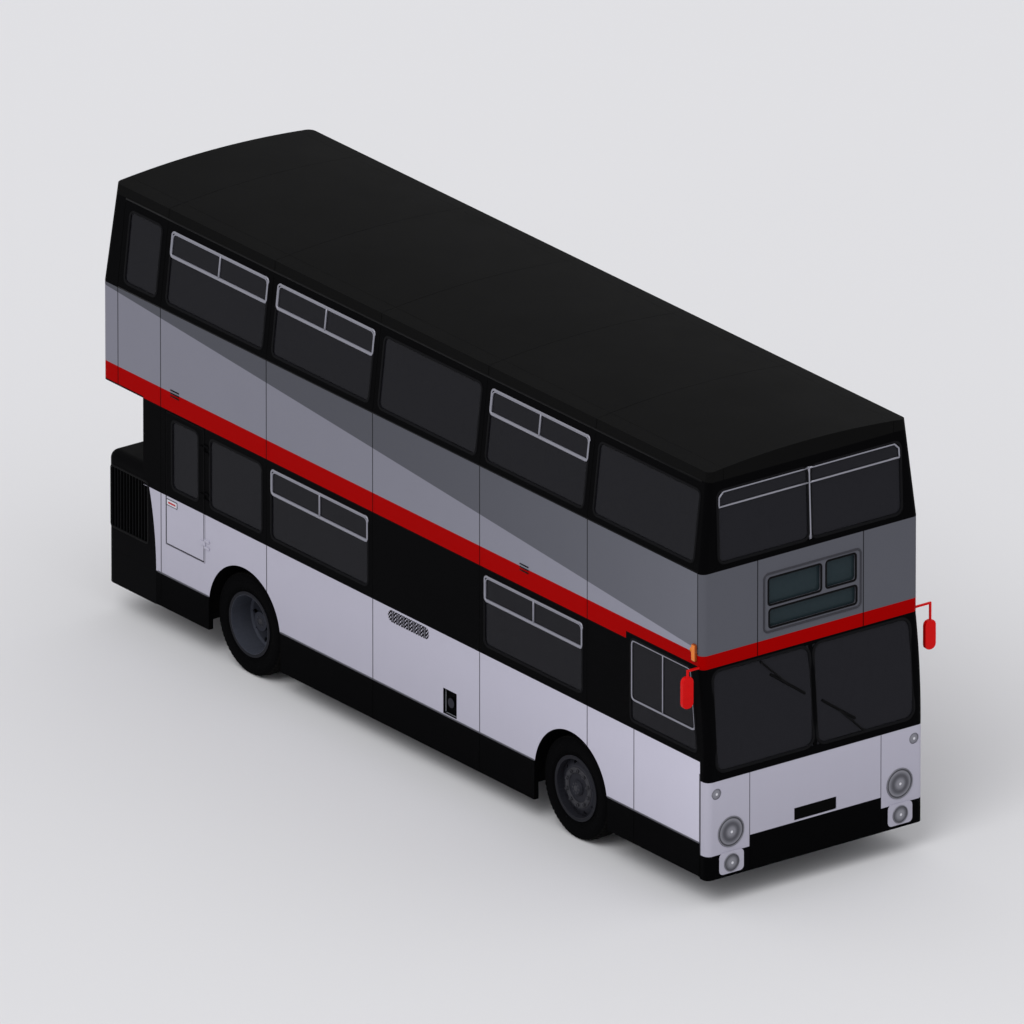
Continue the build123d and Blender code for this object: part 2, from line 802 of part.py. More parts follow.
with BuildPart() as engine_cover:
    with BuildSketch(Plane.YZ.offset(bustle_x)):
        with Locations((0, (cover_foot_z + cover_head_z) / 2)):
            Rectangle(
                cover_width - 2 * door_gap, cover_head_z - cover_foot_z - 2 * door_gap
            )
    extrude(amount=bustle_wall)
    with BuildSketch(Plane.YZ.offset(bustle_x)):
        with Locations((0, cover_foot_z + 330)):
            with GridLocations(1, 50, 1, cover_louvres):
                Rectangle(1500, 22)
    extrude(amount=bustle_wall, mode=Mode.SUBTRACT)
    for plane in hinges(cover_hinge_points, (0, 0, -1), (0, 1, 0)):
        add_barrel(plane)
keep("engine_cover", engine_cover)

# ---- roof ---------------------------------------------------------------------------
with BuildPart() as roof:
    with BuildSketch(Plane.XY.offset(cant_z)):
        Rectangle(4 * front_x, 2 * body_width)
    extrude(amount=2 * wall + crown_z - cant_z)
    add(upper_shell.part, mode=Mode.INTERSECT)
keep("roof", roof)

# ---- floors -------------------------------------------------------------------------
platform_step_x = front_axle_x + front_box_radius + box_wall
cab_floor_y = -250
riser = 25


def wheel_box_sketch(axle_x, radius, plane=Plane.XZ):
    """Arched outline of a wheel box, open below."""
    with BuildSketch(plane) as sketch:
        with Locations((axle_x, arch_z)):
            Circle(radius)
        with Locations((axle_x, (arch_z + platform_z) / 2)):
            Rectangle(2 * radius, arch_z - platform_z)
        with Locations((axle_x, platform_z - radius)):
            Rectangle(2 * radius, 2 * radius, mode=Mode.SUBTRACT)
    return sketch.sketch


box_sizes = (
    (front_axle_x, front_box_radius, front_box_depth),
    (rear_axle_x, rear_box_radius, rear_box_depth),
)
stair_foot_x = 1300
stair_risers = 8
stair_going = 215
stair_inner_y = -540
tread_thickness = 40
stair_head_x = stair_foot_x - stair_going * (stair_risers - 1)

with BuildPart() as lower_floor:
    floor_rear_x = rear_wall_x + wall
    floor_front_x = front_x - wall
    low = saloon_floor_z - floor_thickness
    with BuildSketch(Plane.XY.offset(low)):
        with Locations(((floor_rear_x + platform_step_x) / 2, 0)):
            Rectangle(platform_step_x - floor_rear_x, 2 * inner_half)
        with Locations(((platform_step_x + dash_seam_x) / 2, (cab_floor_y - inner_half) / 2)):
            Rectangle(dash_seam_x - platform_step_x, inner_half + cab_floor_y)
    extrude(amount=floor_thickness)
    with BuildSketch(Plane.XY.offset(platform_z - floor_thickness)):
        with Locations(((platform_step_x + dash_seam_x) / 2, (inner_half + cab_floor_y) / 2)):
            Rectangle(dash_seam_x - platform_step_x, inner_half - cab_floor_y)
    extrude(amount=floor_thickness)
    with BuildSketch(Plane.XY.offset(platform_z - floor_thickness)):
        with Locations((platform_step_x - riser / 2, (inner_half + cab_floor_y) / 2)):
            Rectangle(riser, inner_half - cab_floor_y)
        with Locations(((platform_step_x + dash_seam_x) / 2, cab_floor_y - riser / 2)):
            Rectangle(dash_seam_x - platform_step_x + 2 * riser, riser)
    extrude(amount=saloon_floor_z - platform_z + floor_thickness)
    for axle_x, radius, depth in box_sizes:
        for side in (-1, 1):
            reach_in = half - depth - box_wall - glazing_gap
            space = wheel_box_sketch(axle_x, radius + box_wall + glazing_gap)
            inner_face = space.moved(Location((0, side * reach_in, 0)))
            extrude(inner_face, amount=half, dir=across(side), mode=Mode.SUBTRACT)
keep("lower_floor", lower_floor)

with BuildPart() as wheel_boxes:
    for axle_x, radius, depth in box_sizes:
        for side in (-1, 1):
            outline = wheel_box_sketch(axle_x, radius + box_wall)
            start = outline.moved(Location((0, side * (half - depth - box_wall), 0)))
            extrude(start, amount=depth + box_wall - wall, dir=across(side))
            space = wheel_box_sketch(axle_x, radius)
            start = space.moved(Location((0, side * (half - depth), 0)))
            extrude(start, amount=depth, dir=across(side), mode=Mode.SUBTRACT)
        with BuildSketch(Plane.XY):
            with Locations((axle_x, 0)):
                Rectangle(2 * (radius + box_wall), 2 * (half - depth))
        extrude(amount=low, mode=Mode.SUBTRACT)
keep("wheel_boxes", wheel_boxes)

with BuildPart() as upper_floor:
    upper_rear_x = rear_x + wall
    upper_ahead_x = upper_front_x - wall
    with BuildSketch(Plane.XY.offset(upper_floor_z - floor_thickness)):
        with Locations(((upper_rear_x + upper_ahead_x) / 2, 0)):
            Rectangle(upper_ahead_x - upper_rear_x, 2 * inner_half)
        well_rear_x = stair_head_x - tread_thickness
        with Locations(((well_rear_x + stair_foot_x) / 2, (stair_inner_y - inner_half) / 2)):
            Rectangle(
                stair_foot_x - well_rear_x, inner_half + stair_inner_y, mode=Mode.SUBTRACT
            )
    extrude(amount=floor_thickness)
    with BuildSketch(Plane.XY.offset(deck_joint_z)):
        with Locations(((upper_rear_x + rear_wall_x) / 2, 0)):
            Rectangle(rear_wall_x - upper_rear_x, 2 * inner_half)
    extrude(amount=upper_floor_z - floor_thickness - deck_joint_z)
    corners = [
        edge
        for edge in upper_floor.edges().filter_by(Axis.Z)
        if min(edge.center().X - upper_rear_x, upper_ahead_x - edge.center().X) < 1
    ]
    fillet(corners, corner_radius - wall + 1)
keep("upper_floor", upper_floor)

# ---- staircase ----------------------------------------------------------------------
with BuildPart() as staircase:
    rise = (upper_floor_z - saloon_floor_z) / stair_risers
    steps = [(stair_foot_x, saloon_floor_z)]
    for i in range(stair_risers):
        x = stair_foot_x - stair_going * i
        steps += [(x, saloon_floor_z + rise * (i + 1))]
        if i < stair_risers - 1:
            steps += [(x - stair_going, saloon_floor_z + rise * (i + 1))]
    under = [(x - tread_thickness, z - tread_thickness) for x, z in reversed(steps[1:])]
    with BuildSketch(Plane.XZ.offset(-stair_inner_y)):
        with BuildLine():
            Polyline(
                *steps, *under, (stair_foot_x - tread_thickness, saloon_floor_z), close=True
            )
        make_face()
    extrude(amount=inner_half + stair_inner_y)
    with BuildSketch(Plane.XZ.offset(-stair_inner_y)):
        with BuildLine():
            Polyline(
                (stair_foot_x, saloon_floor_z),
                (stair_foot_x, saloon_floor_z + 4 * rise),
                (stair_head_x + stair_going, upper_floor_z + 3 * rise),
                (stair_head_x, upper_floor_z + 3 * rise),
                (stair_head_x, upper_floor_z - tread_thickness),
                (stair_foot_x - 3 * stair_going, saloon_floor_z + 2 * rise),
                close=True,
            )
        make_face()
    extrude(amount=riser)
keep("staircase", staircase)

# ---- chassis ------------------------------------------------------------------------
frame_rear_x = -4540
frame_front_x = 4540
front_rail_foot_z = 250
engine_seat_z = 430
tow_hole_radius = 21
tow_lug_thickness = 30
rear_lug_z = 236
hanger_length = 60

with BuildPart() as chassis_frame:
    mid_foot_z = rail_top_z - 190
    axle_foot_z = rail_top_z - 110
    platform_foot_z = platform_z - floor_thickness
    with BuildSketch(Plane.XZ) as rail_side:
        with BuildLine():
            Polyline(
                (frame_rear_x, engine_seat_z),
                (rear_wall_x + 500, engine_seat_z),
                (rear_wall_x + 700, rail_top_z),
                (platform_step_x - 80, rail_top_z),
                (platform_step_x - 80, platform_foot_z),
                (frame_front_x, platform_foot_z),
                (frame_front_x, front_rail_foot_z),
                (platform_step_x - 200, front_rail_foot_z),
                (platform_step_x - 250, axle_foot_z),
                (front_axle_x - 480, axle_foot_z),
                (front_axle_x - 580, mid_foot_z),
                (rear_axle_x + 580, mid_foot_z),
                (rear_axle_x + 480, axle_foot_z),
                (rear_wall_x + 700, axle_foot_z),
                (rear_wall_x + 450, engine_seat_z - 110),
                (frame_rear_x, engine_seat_z - 110),
                close=True,
            )
        make_face()
    extrude(amount=rail_y + rail_width / 2, both=True)
    with BuildSketch(Plane.XZ):
        Rectangle(4 * front_x, 4 * front_x)
    extrude(amount=rail_y - rail_width / 2, both=True, mode=Mode.SUBTRACT)
    with BuildSketch(Plane.XY.offset(rail_top_z - 90)):
        with Locations(*[(x, 0) for x in (-1500, 0, 1500)]):
            Rectangle(60, 2 * rail_y)
    extrude(amount=80)
    with BuildSketch(Plane.XY.offset(engine_seat_z - 100)):
        with Locations((frame_rear_x + 40, 0), (rear_wall_x + 60, 0)):
            Rectangle(80, 2 * rail_y)
    extrude(amount=90)
    with BuildSketch(Plane.XY.offset(front_rail_foot_z)):
        with Locations((frame_front_x - 30, 0), (platform_step_x + 60, 0)):
            Rectangle(60, 2 * rail_y)
    extrude(amount=platform_foot_z - front_rail_foot_z)
    with BuildSketch(Plane.XY.offset(rail_top_z - 40)):
        for axle_x, length in (
            (front_axle_x, front_spring_length),
            (rear_axle_x, rear_spring_length),
        ):
            for end in (-1, 1):
                with Locations((axle_x + end * (length / 2 - 30), 0)):
                    Rectangle(hanger_length, 2 * (rail_y + rail_width / 2 + 130))
                    Rectangle(
                        2 * hanger_length, 2 * (rail_y - rail_width / 2), mode=Mode.SUBTRACT
                    )
    extrude(amount=40)
    with BuildSketch(Plane.XY.offset(rail_top_z - 300)):
        with Locations((850, -880)):
            eased(1000, 540, 60)
    extrude(amount=270)
    with BuildSketch(Plane.XY.offset(rail_top_z - 90)):
        with Locations((550, -540), (1150, -540)):
            Rectangle(60, 250)
    extrude(amount=90)
    with BuildSketch(Plane.XY.offset(front_rail_foot_z)):
        with Locations((frame_front_x + 25, 0)):
            Rectangle(110, 120)
        with Locations((frame_front_x + 38, 0)):
            Circle(tow_hole_radius, mode=Mode.SUBTRACT)
    extrude(amount=tow_lug_thickness)
    with BuildSketch(Plane.XY.offset(rear_lug_z)):
        with Locations((frame_rear_x - 10, 0)):
            Rectangle(120, 120)
        with Locations((frame_rear_x - 30, 0)):
            Circle(tow_hole_radius, mode=Mode.SUBTRACT)
    extrude(amount=tow_lug_thickness)
    with BuildSketch(Plane.XY.offset(rear_lug_z)):
        with Locations((frame_rear_x + 30, 0)):
            Rectangle(40, 120)
    extrude(amount=engine_seat_z - 50 - rear_lug_z)
keep("chassis_frame", chassis_frame)

engine_size = (440, 1200, 760)
with BuildPart() as engine_block:
    with BuildSketch(Plane.XY.offset(engine_seat_z)):
        with Locations(((rear_wall_x + bustle_x) / 2 - 10, -50)):
            eased(engine_size[0], engine_size[1], 40)
    extrude(amount=engine_size[2])
keep("engine_block", engine_block)

# ---- axles and springs --------------------------------------------------------------
beam_top_z = 440
beam_foot_z = 335
beam_depth = 90
web_cut = 28
flange = 18
boss_radius = 48
boss_half_height = 70
spring_y = 550
rear_spring_y = 500


def spring_sketch(plane, axle_x, seat_z, eye_z, length):
    """Side view of a leaf spring: a long arched leaf over ever shorter ones."""
    tip = length / 2
    leaf = 14
    with BuildSketch(plane) as sketch:
        with BuildLine():
            ThreePointArc(
                (axle_x - tip, eye_z), (axle_x, seat_z + 4 * leaf), (axle_x + tip, eye_z)
            )
            ThreePointArc(
                (axle_x - tip, eye_z - leaf),
                (axle_x, seat_z + 3 * leaf),
                (axle_x + tip, eye_z - leaf),
            )
            Line((axle_x - tip, eye_z), (axle_x - tip, eye_z - leaf))
            Line((axle_x + tip, eye_z), (axle_x + tip, eye_z - leaf))
        make_face()
        for count, share in ((2, 0.62), (1, 0.4), (0, 0.2)):
            sag = (eye_z - seat_z - 3 * leaf) * share**2
            with BuildLine():
                foot = seat_z + count * leaf
                Polyline(
                    (axle_x - tip * share, foot + sag),
                    (axle_x - tip * share, foot + sag + 1.6 * leaf),
                    (axle_x, foot + 1.4 * leaf),
                    (axle_x + tip * share, foot + sag + 1.6 * leaf),
                    (axle_x + tip * share, foot + sag),
                    (axle_x, foot),
                    close=True,
                )
            make_face()
        with Locations((axle_x, seat_z + leaf / 2)):
            Rectangle(10 * leaf, 2 * leaf)
    return sketch.sketch


def add_springs(axle_x, y, seat_z, eye_z, length):
    """Both springs of an axle, joined to it at their seats."""
    for side in (-1, 1):
        near_face = Plane.XZ.offset(-side * (y - spring_width / 2))
        leaves = spring_sketch(near_face, axle_x, seat_z, eye_z, length)
        extrude(leaves, amount=spring_width, dir=across(side))


spring_eye_z = rail_top_z - 40 - glazing_gap

def beam_sketch(x, inset=0):
    """Front view of the dropped axle beam between its kingpin bosses."""
    bend = kingpin_y - boss_radius + 8
    above = [(-bend, hub_z + 55), (-770, hub_z + 45), (-650, beam_top_z)]
    below = [(-650, beam_foot_z), (-790, hub_z - 70), (-bend, hub_z - 55)]
    other = [(-y, z) for y, z in reversed(above)] + [(-y, z) for y, z in reversed(below)]
    with BuildSketch(Plane.YZ.offset(x)) as sketch:
        with BuildLine():
            Polyline(*above, *other, *below, close=True)
        make_face()
        if inset:
            offset(amount=-inset, mode=Mode.REPLACE)
    return sketch.sketch


with BuildPart() as front_axle:
    extrude(beam_sketch(front_axle_x - beam_depth / 2), amount=beam_depth, dir=forwards)
    for end in (-1, 1):
        web_face = beam_sketch(front_axle_x + end * beam_depth / 2, flange)
        extrude(web_face, amount=web_cut, dir=(-end, 0, 0), mode=Mode.SUBTRACT)
    with BuildSketch(Plane.XY.offset(hub_z - boss_half_height)):
        with Locations((front_axle_x, kingpin_y), (front_axle_x, -kingpin_y)):
            Circle(boss_radius)
    extrude(amount=2 * boss_half_height)
    with BuildSketch(Plane.XY):
        with Locations((front_axle_x, kingpin_y), (front_axle_x, -kingpin_y)):
            Circle(kingpin_radius + running_gap)
    extrude(amount=2 * hub_z, mode=Mode.SUBTRACT)
    add_springs(front_axle_x, spring_y, beam_top_z, spring_eye_z, front_spring_length)
keep("front_axle", front_axle)

axle_tube_z = 400
axle_tube_radius = 65
case_y = 575
case_width = 50
spindle_radius = 55
spindle_end_y = 1040

with BuildPart() as rear_axle:
    with BuildSketch(Plane.XZ) as tube_section:
        with Locations((rear_axle_x, axle_tube_z)):
            Circle(axle_tube_radius)
    extrude(amount=case_y, both=True)
    middle = Plane(origin=(rear_axle_x, 0, axle_tube_z), x_dir=(0, 1, 0), z_dir=(1, 0, 0))
    with BuildSketch(middle):
        with BuildLine():
            Polyline((-240, 0), (240, 0), (200, 80), (90, 165), (-90, 165), (-200, 80), close=True)
        make_face()
    revolve(axis=Axis((rear_axle_x, 0, axle_tube_z), (0, 1, 0)))
    for side in (-1, 1):
        with BuildSketch(Plane.XZ.offset(-side * (case_y - case_width / 2))):
            with Locations((rear_axle_x, axle_tube_z)):
                Circle(axle_tube_radius + 30)
            with Locations((rear_axle_x, hub_z)):
                Circle(spindle_radius + 40)
            with Locations((rear_axle_x, (axle_tube_z + hub_z) / 2)):
                Rectangle(2 * (axle_tube_radius + 30), hub_z - axle_tube_z)
        extrude(amount=-side * case_width)
        with BuildSketch(Plane.XZ.offset(-side * case_y)):
            with Locations((rear_axle_x, hub_z)):
                Circle(spindle_radius)
        extrude(amount=-side * (spindle_end_y - case_y))
    tube_top_z = axle_tube_z + axle_tube_radius - 4
    add_springs(rear_axle_x, rear_spring_y, tube_top_z, spring_eye_z, rear_spring_length)
keep("rear_axle", rear_axle)


# ---- wheels -------------------------------------------------------------------------
def wheel_plane(axle_x, side):
    """A plane whose x runs outwards along the axle and whose y is the radius."""
    return Plane(origin=(axle_x, 0, hub_z), x_dir=(0, side, 0), z_dir=(1, 0, 0))


def spin(axle_x):
    """The axle's own line."""
    return Axis((axle_x, 0, hub_z), (0, 1, 0))


wheel_sides = 40
rim_inner = rim_radius - 16
flange_radius = 318
drum_radius = 205
spindle_y0 = case_y + case_width / 2 + 10


def turned(points, axle_x, side):
    """A closed section of (distance out, radius) points turned about an axle in flat steps."""
    rings = []
    for i in range(wheel_sides):
        angle = 2 * pi * i / wheel_sides
        rings.append(
            [
                Vector(axle_x + radius * cos(angle), side * y, hub_z + radius * sin(angle))
                for y, radius in points
            ]
        )
    faces = []
    for near, far in zip(rings, rings[1:] + rings[:1]):
        for j in range(len(points)):
            corners = [near[j - 1], near[j], far[j], far[j - 1]]
            faces.append(Face(Wire.make_polygon(corners, close=True)))
    return Solid(Shell(faces))


def tyres(axle_x, side, inner_faces):
    """The tyres at one end of an axle: crowned shoulders and bulging walls."""
    with BuildPart() as built:
        for y in inner_faces:
            far = y + tyre_width
            section = [
                (y + 20, rim_radius),
                (y, tyre_radius - 90),
                (y + 25, tyre_radius),
                (far - 25, tyre_radius),
                (far, tyre_radius - 90),
                (far - 20, rim_radius),
            ]
            add(turned(section, axle_x, side))
    return built


def add_rim(axle_x, side, y):
    """A rim in the tyre at y: a barrel between two flanges."""
    near, far = y + 13, y + tyre_width - 13
    seat = rim_radius - glazing_gap
    lip = 8
    section = [
        (near - lip, flange_radius),
        (near, flange_radius),
        (near, seat),
        (far, seat),
        (far, flange_radius),
        (far + lip, flange_radius),
        (far + lip, rim_inner),
        (near - lip, rim_inner),
    ]
    add(turned(section, axle_x, side))


def add_disc(axle_x, side, dish_y, face_y, direction, bore):
    """A wheel disc, dished from its rim to a flat face about the hub."""
    ahead = direction * 14
    section = [
        (dish_y, rim_inner + 5),
        (dish_y + ahead, rim_inner + 5),
        (face_y + ahead, drum_radius),
        (face_y + ahead, bore),
        (face_y, bore),
        (face_y, drum_radius),
    ]
    add(turned(section, axle_x, side))


def add_drum(axle_x, side, y0, y1):
    """A brake drum's wall."""
    inner = drum_radius - 13
    section = [(y0, inner), (y0, drum_radius), (y1, drum_radius), (y1, inner)]
    add(turned(section, axle_x, side))


def add_hub(axle_x, side, points):
    """A round hub about the axle, bored for its shaft."""
    with BuildSketch(wheel_plane(axle_x, side)) as section:
        with BuildLine():
            Polyline(*points, close=True)
        make_face()
    revolve(section.sketch, axis=spin(axle_x))


def cut_hand_holes(axle_x, side, size):
    """Square hand holes through a wheel's discs."""
    with BuildSketch(Plane.XZ) as holes:
        with Locations((axle_x, hub_z)):
            with PolarLocations(245, hand_holes):
                RegularPolygon(size, 4)
    extrude(holes.sketch, amount=-side * body_width, mode=Mode.SUBTRACT)


def front_wheel(side):
    """Front wheel, hub and brake drum in one; its disc bulges outwards."""
    face_y = tyre_middle_y + 85
    bore = stub_radius + running_gap
    with BuildPart() as built:
        add_rim(front_axle_x, side, tyre_outer_y - tyre_width)
        add_disc(front_axle_x, side, tyre_middle_y + 45, face_y, 1, 65)
        add_drum(front_axle_x, side, tyre_middle_y - 50, face_y + 4)
        hub = [
            (tyre_middle_y - 30, bore),
            (tyre_middle_y - 30, 75),
            (face_y + 24, 75),
            (face_y + 46, 60),
            (face_y + 46, 0),
            (tyre_middle_y + 70, 0),
            (tyre_middle_y + 70, bore),
        ]
        add_hub(front_axle_x, side, hub)
        cut_hand_holes(front_axle_x, side, 24)
    return built


def rear_wheels(side):
    """The twin wheels of one side, bolted back to back on their hub."""
    outer_y = tyre_outer_y - tyre_width
    inner_y = twin_inner_y - tyre_width
    mate_y = outer_y - twin_gap / 2
    bore = spindle_radius + running_gap
    with BuildPart() as built:
        add_rim(rear_axle_x, side, outer_y)
        add_rim(rear_axle_x, side, inner_y)
        add_disc(rear_axle_x, side, outer_y + 40, mate_y - 2, 1, 80)
        add_disc(rear_axle_x, side, outer_y - twin_gap - 40, mate_y + 2, -1, 80)
        add_drum(rear_axle_x, side, mate_y - 200, mate_y)
        hub = [
            (spindle_y0, bore),
            (spindle_y0, 105),
            (mate_y + 165, 92),
            (mate_y + 165, 0),
            (spindle_end_y + 6, 0),
            (spindle_end_y + 6, bore),
        ]
        add_hub(rear_axle_x, side, hub)
        cut_hand_holes(rear_axle_x, side, 26)
    return built


def knuckle(side):
    """Steering knuckle: kingpin in a yoke, backplate and stub axle."""
    lug = 40
    clear = 6
    yoke_half = 60
    yoke_y = tyre_middle_y - 65
    with BuildPart() as built:
        for end in (-1, 1):
            with BuildSketch(Plane.XY.offset(hub_z + end * (boss_half_height + clear))):
                with Locations((front_axle_x, side * kingpin_y)):
                    Circle(boss_radius)
                with Locations((front_axle_x, side * (kingpin_y + yoke_y) / 2)):
                    Rectangle(2 * boss_radius, yoke_y - kingpin_y)
            extrude(amount=end * lug)
        with BuildSketch(Plane.XY.offset(hub_z - boss_half_height - clear)):
            with Locations((front_axle_x, side * kingpin_y)):
                Circle(kingpin_radius)
        extrude(amount=2 * (boss_half_height + clear))
        with BuildSketch(wheel_plane(front_axle_x, side)):
            with BuildLine():
                Polyline(
                    (yoke_y - 4, 0),
                    (yoke_y - 4, drum_radius - 20),
                    (yoke_y + 6, drum_radius - 20),
                    (yoke_y + 6, 60),
                    (tyre_middle_y - 36, 45),
                    (tyre_middle_y - 36, stub_radius),
                    (tyre_middle_y + 60, stub_radius),
                    (tyre_middle_y + 60, 0),
                    close=True,
                )
            make_face()
        revolve(axis=spin(front_axle_x))
    return built


for side, name in ((-1, "offside"), (1, "nearside")):
    keep(name + "_knuckle", knuckle(side))
    keep(name + "_front_wheel", front_wheel(side))
    keep(name + "_front_tyre", tyres(front_axle_x, side, [tyre_outer_y - tyre_width]))
    keep(name + "_rear_wheels", rear_wheels(side))
    keep(
        name + "_rear_tyres",
        tyres(rear_axle_x, side, [tyre_outer_y - tyre_width, twin_inner_y - tyre_width]),
    )

# ---- doors --------------------------------------------------------------------------
leaf_top_z = entrance_head_z - leaf_drop
leaf_foot_z = platform_z + leaf_drop
entrance_middle_x = (entrance_rear_x + entrance_front_x) / 2
leaf_face_y = pivot_y - leaf_set_back
pair_span = (entrance_middle_x - 5 - leaf_tail) - rear_pivot_x
leaf_length = pair_span / 2
leaf_glass_margin = 52
elbow_radius = 11
elbow_z = (leaf_foot_z + 180, leaf_top_z - 180)


def leaf(x_pivot, direction, from_reach, to_reach):
    """One door leaf, between two reaches from a pivot, along a direction of travel."""
    x0, x1 = sorted((x_pivot + direction * from_reach, x_pivot + direction * to_reach))
    middle_x = (x0 + x1) / 2
    with BuildPart() as built:
        with BuildSketch(Plane.XZ.offset(-leaf_face_y)):
            with Locations((middle_x, (leaf_foot_z + leaf_top_z) / 2)):
                Rectangle(x1 - x0, leaf_top_z - leaf_foot_z)
            with Locations((middle_x, leaf_foot_z + 1250)):
                eased(
                    x1 - x0 - 2 * leaf_glass_margin, 1080, 40, mode=Mode.SUBTRACT
                )
            with Locations((middle_x, leaf_foot_z + 350)):
                eased(
                    x1 - x0 - 2 * leaf_glass_margin, 560, 40, mode=Mode.SUBTRACT
                )
        extrude(amount=leaf_thickness)
    return built.part


for name, pivot_x, direction in (
    ("rear", rear_pivot_x, 1),
    ("front", front_pivot_x, -1),
):
    elbow_x = pivot_x + direction * leaf_length
    elbow_points = [(elbow_x, pivot_y, z) for z in elbow_z]
    with BuildPart() as outer_leaf:
        add(leaf(pivot_x, direction, -leaf_tail, leaf_length - leaf_gap / 2))
        for plane in hinges(elbow_points, backwards, (0, 0, 1)):
            add_barrel(plane, 0, elbow_radius)
        for z in (platform_z - pin_reach, leaf_top_z - pin_reach):
            with BuildSketch(Plane.XY.offset(z)):
                with Locations((pivot_x, pivot_y)):
                    Circle(pivot_radius)
            extrude(amount=leaf_foot_z + 2 * pin_reach - platform_z)
    keep("entrance_outer_leaf_" + name, outer_leaf)
    with BuildPart() as inner_leaf:
        add(leaf(pivot_x, direction, leaf_length + leaf_gap / 2, 2 * leaf_length + leaf_tail))
        for plane in hinges(elbow_points, backwards, (0, 0, 1)):
            add_lugs(plane, 0, elbow_radius)
    keep("entrance_inner_leaf_" + name, inner_leaf)

with BuildPart() as emergency_door:
    with BuildSketch(Plane.XZ.offset(inner_half)):
        with Locations(((exit_rear_x + exit_front_x) / 2, (exit_sill_z + exit_head_z) / 2)):
            Rectangle(
                exit_front_x - exit_rear_x - 2 * door_gap,
                exit_head_z - exit_sill_z - 2 * door_gap,
            )
    extrude(amount=wall)
    through_side(window_sketch([exit_window]), -1, Mode.SUBTRACT)
    for plane in hinges(exit_hinge_points, backwards, (0, 0, 1)):
        add_barrel(plane)
keep("emergency_door", emergency_door)

# ---- glass --------------------------------------------------------------------------
upper_pane_layer = layer(upper_solid, glass_inset, glass_thickness)
lower_pane_layer = layer(lower_solid, glass_inset, glass_thickness)

with BuildPart() as upper_side_panes:
    for side in (-1, 1):
        through_side(window_sketch(upper_windows, glazing_gap), side)
    add(upper_pane_layer, mode=Mode.INTERSECT)

with BuildPart() as upper_end_panes:
    extrude(upper_screen_sketch(glazing_gap), amount=2 * front_x, dir=forwards)
    extrude(rear_lights_sketch(glazing_gap), amount=2 * front_x, dir=backwards)
    add(upper_pane_layer, mode=Mode.INTERSECT)

with BuildPart() as saloon_glass:
    add(upper_side_panes.part)
    add(upper_end_panes.part)
    for side, panes in (
        (-1, window_sketch(offside_lower_windows, glazing_gap)),
        (-1, cab_window_sketch(glazing_gap)),
        (1, window_sketch(nearside_lower_windows, glazing_gap)),
    ):
        inside = Location((0, side * (half - glass_inset - glass_thickness), 0))
        extrude(panes.moved(inside), amount=glass_thickness, dir=across(side))
    with BuildSketch(Plane.YZ.offset(rear_wall_x + glass_inset)):
        with Locations((0, (rear_window_foot_z + rear_window_head_z) / 2)):
            eased(
                2 * (rear_window_half - glazing_gap),
                rear_window_head_z - rear_window_foot_z - 2 * glazing_gap,
                window_radius - glazing_gap,
            )
    extrude(amount=glass_thickness)
keep("saloon_glass", saloon_glass)

with BuildPart() as windscreen:
    extrude(screen_sketch(glazing_gap), amount=2 * front_x, dir=forwards)
    add(lower_pane_layer, mode=Mode.INTERSECT)
keep("windscreen", windscreen)

with BuildPart() as destination_glass:
    extrude(blind_sketch(glazing_gap), amount=2 * front_x, dir=forwards)
    add(layer(upper_solid, 30, glass_thickness), mode=Mode.INTERSECT)
keep("destination_glass", destination_glass)

# ---- light-metal window frames ------------------------------------------------------
frame_proud = 2


def vent_frame_sketch(window, depth, shrink=glazing_gap):
    """Sliding vent across the top of a window: a frame with a bar in its middle."""
    x0, z0, x1, z1 = window
    with BuildSketch(Plane.XZ) as sketch:
        with Locations(((x0 + x1) / 2, (z0 + z1) / 2)):
            add(
                eased_corners(
                    x1 - x0 - 2 * shrink, z1 - z0 - 2 * shrink, window_radius - shrink
                )
            )
        with Locations(((x0 + x1) / 2, z0 - depth)):
            Rectangle(2 * (x1 - x0), 2 * (z1 - z0), mode=Mode.SUBTRACT)
        outer = sketch.sketch
        offset(amount=-frame_bar, kind=Kind.INTERSECTION, mode=Mode.SUBTRACT)
        with Locations(((x0 + x1) / 2, z1 - depth / 2)):
            Rectangle(frame_bar, depth - 2 * shrink)
    return sketch.sketch


with BuildPart() as upper_vents:
    for bay in vent_bays_upper:
        window = bay_window(bay, upper_sill_z, upper_head_z)
        for side in (-1, 1):
            through_side(vent_frame_sketch(window, vent_depth_upper), side)
    frame_layer = layer(upper_solid, -frame_proud, glass_inset + frame_proud - glazing_gap)
    add(frame_layer, mode=Mode.INTERSECT)

with BuildPart() as window_vents:
    add(upper_vents.part)
    frame_thickness = glass_inset + frame_proud - glazing_gap
    for side in (-1, 1):
        for bay in vent_bays_lower:
            window = bay_window(bay, lower_sill_z, lower_head_z)
            frame = vent_frame_sketch(window, vent_depth_lower)
            inside = Location((0, side * (half - glass_inset + glazing_gap), 0))
            extrude(frame.moved(inside), amount=frame_thickness, dir=across(side))
keep("window_vents", window_vents)

# ---- lamps --------------------------------------------------------------------------
lens_bulge = 14
lamp_depth = 45
rear_lamp_depth = 18
rear_lamp_radius = 60
rear_lamp_y = 1075
rear_lamp_z = (560, 700, 840)
marker_radius = 24
marker_depth = 8
marker_x = 4440
marker_z = 2492


def add_lamp(facing, radius, depth):
    """One lamp: a drum behind a plane, with its domed lens ahead of it."""
    edge = radius - glazing_gap
    with BuildPart(mode=Mode.PRIVATE) as drum:
        with BuildSketch(Plane.XZ):
            with BuildLine():
                Polyline(
                    (0, lens_bulge),
                    (0, -depth),
                    (edge, -depth),
                    (edge, 0),
                    close=True,
                )
            make_face()
        revolve(axis=Axis.Z)
    add(facing.location * drum.part)


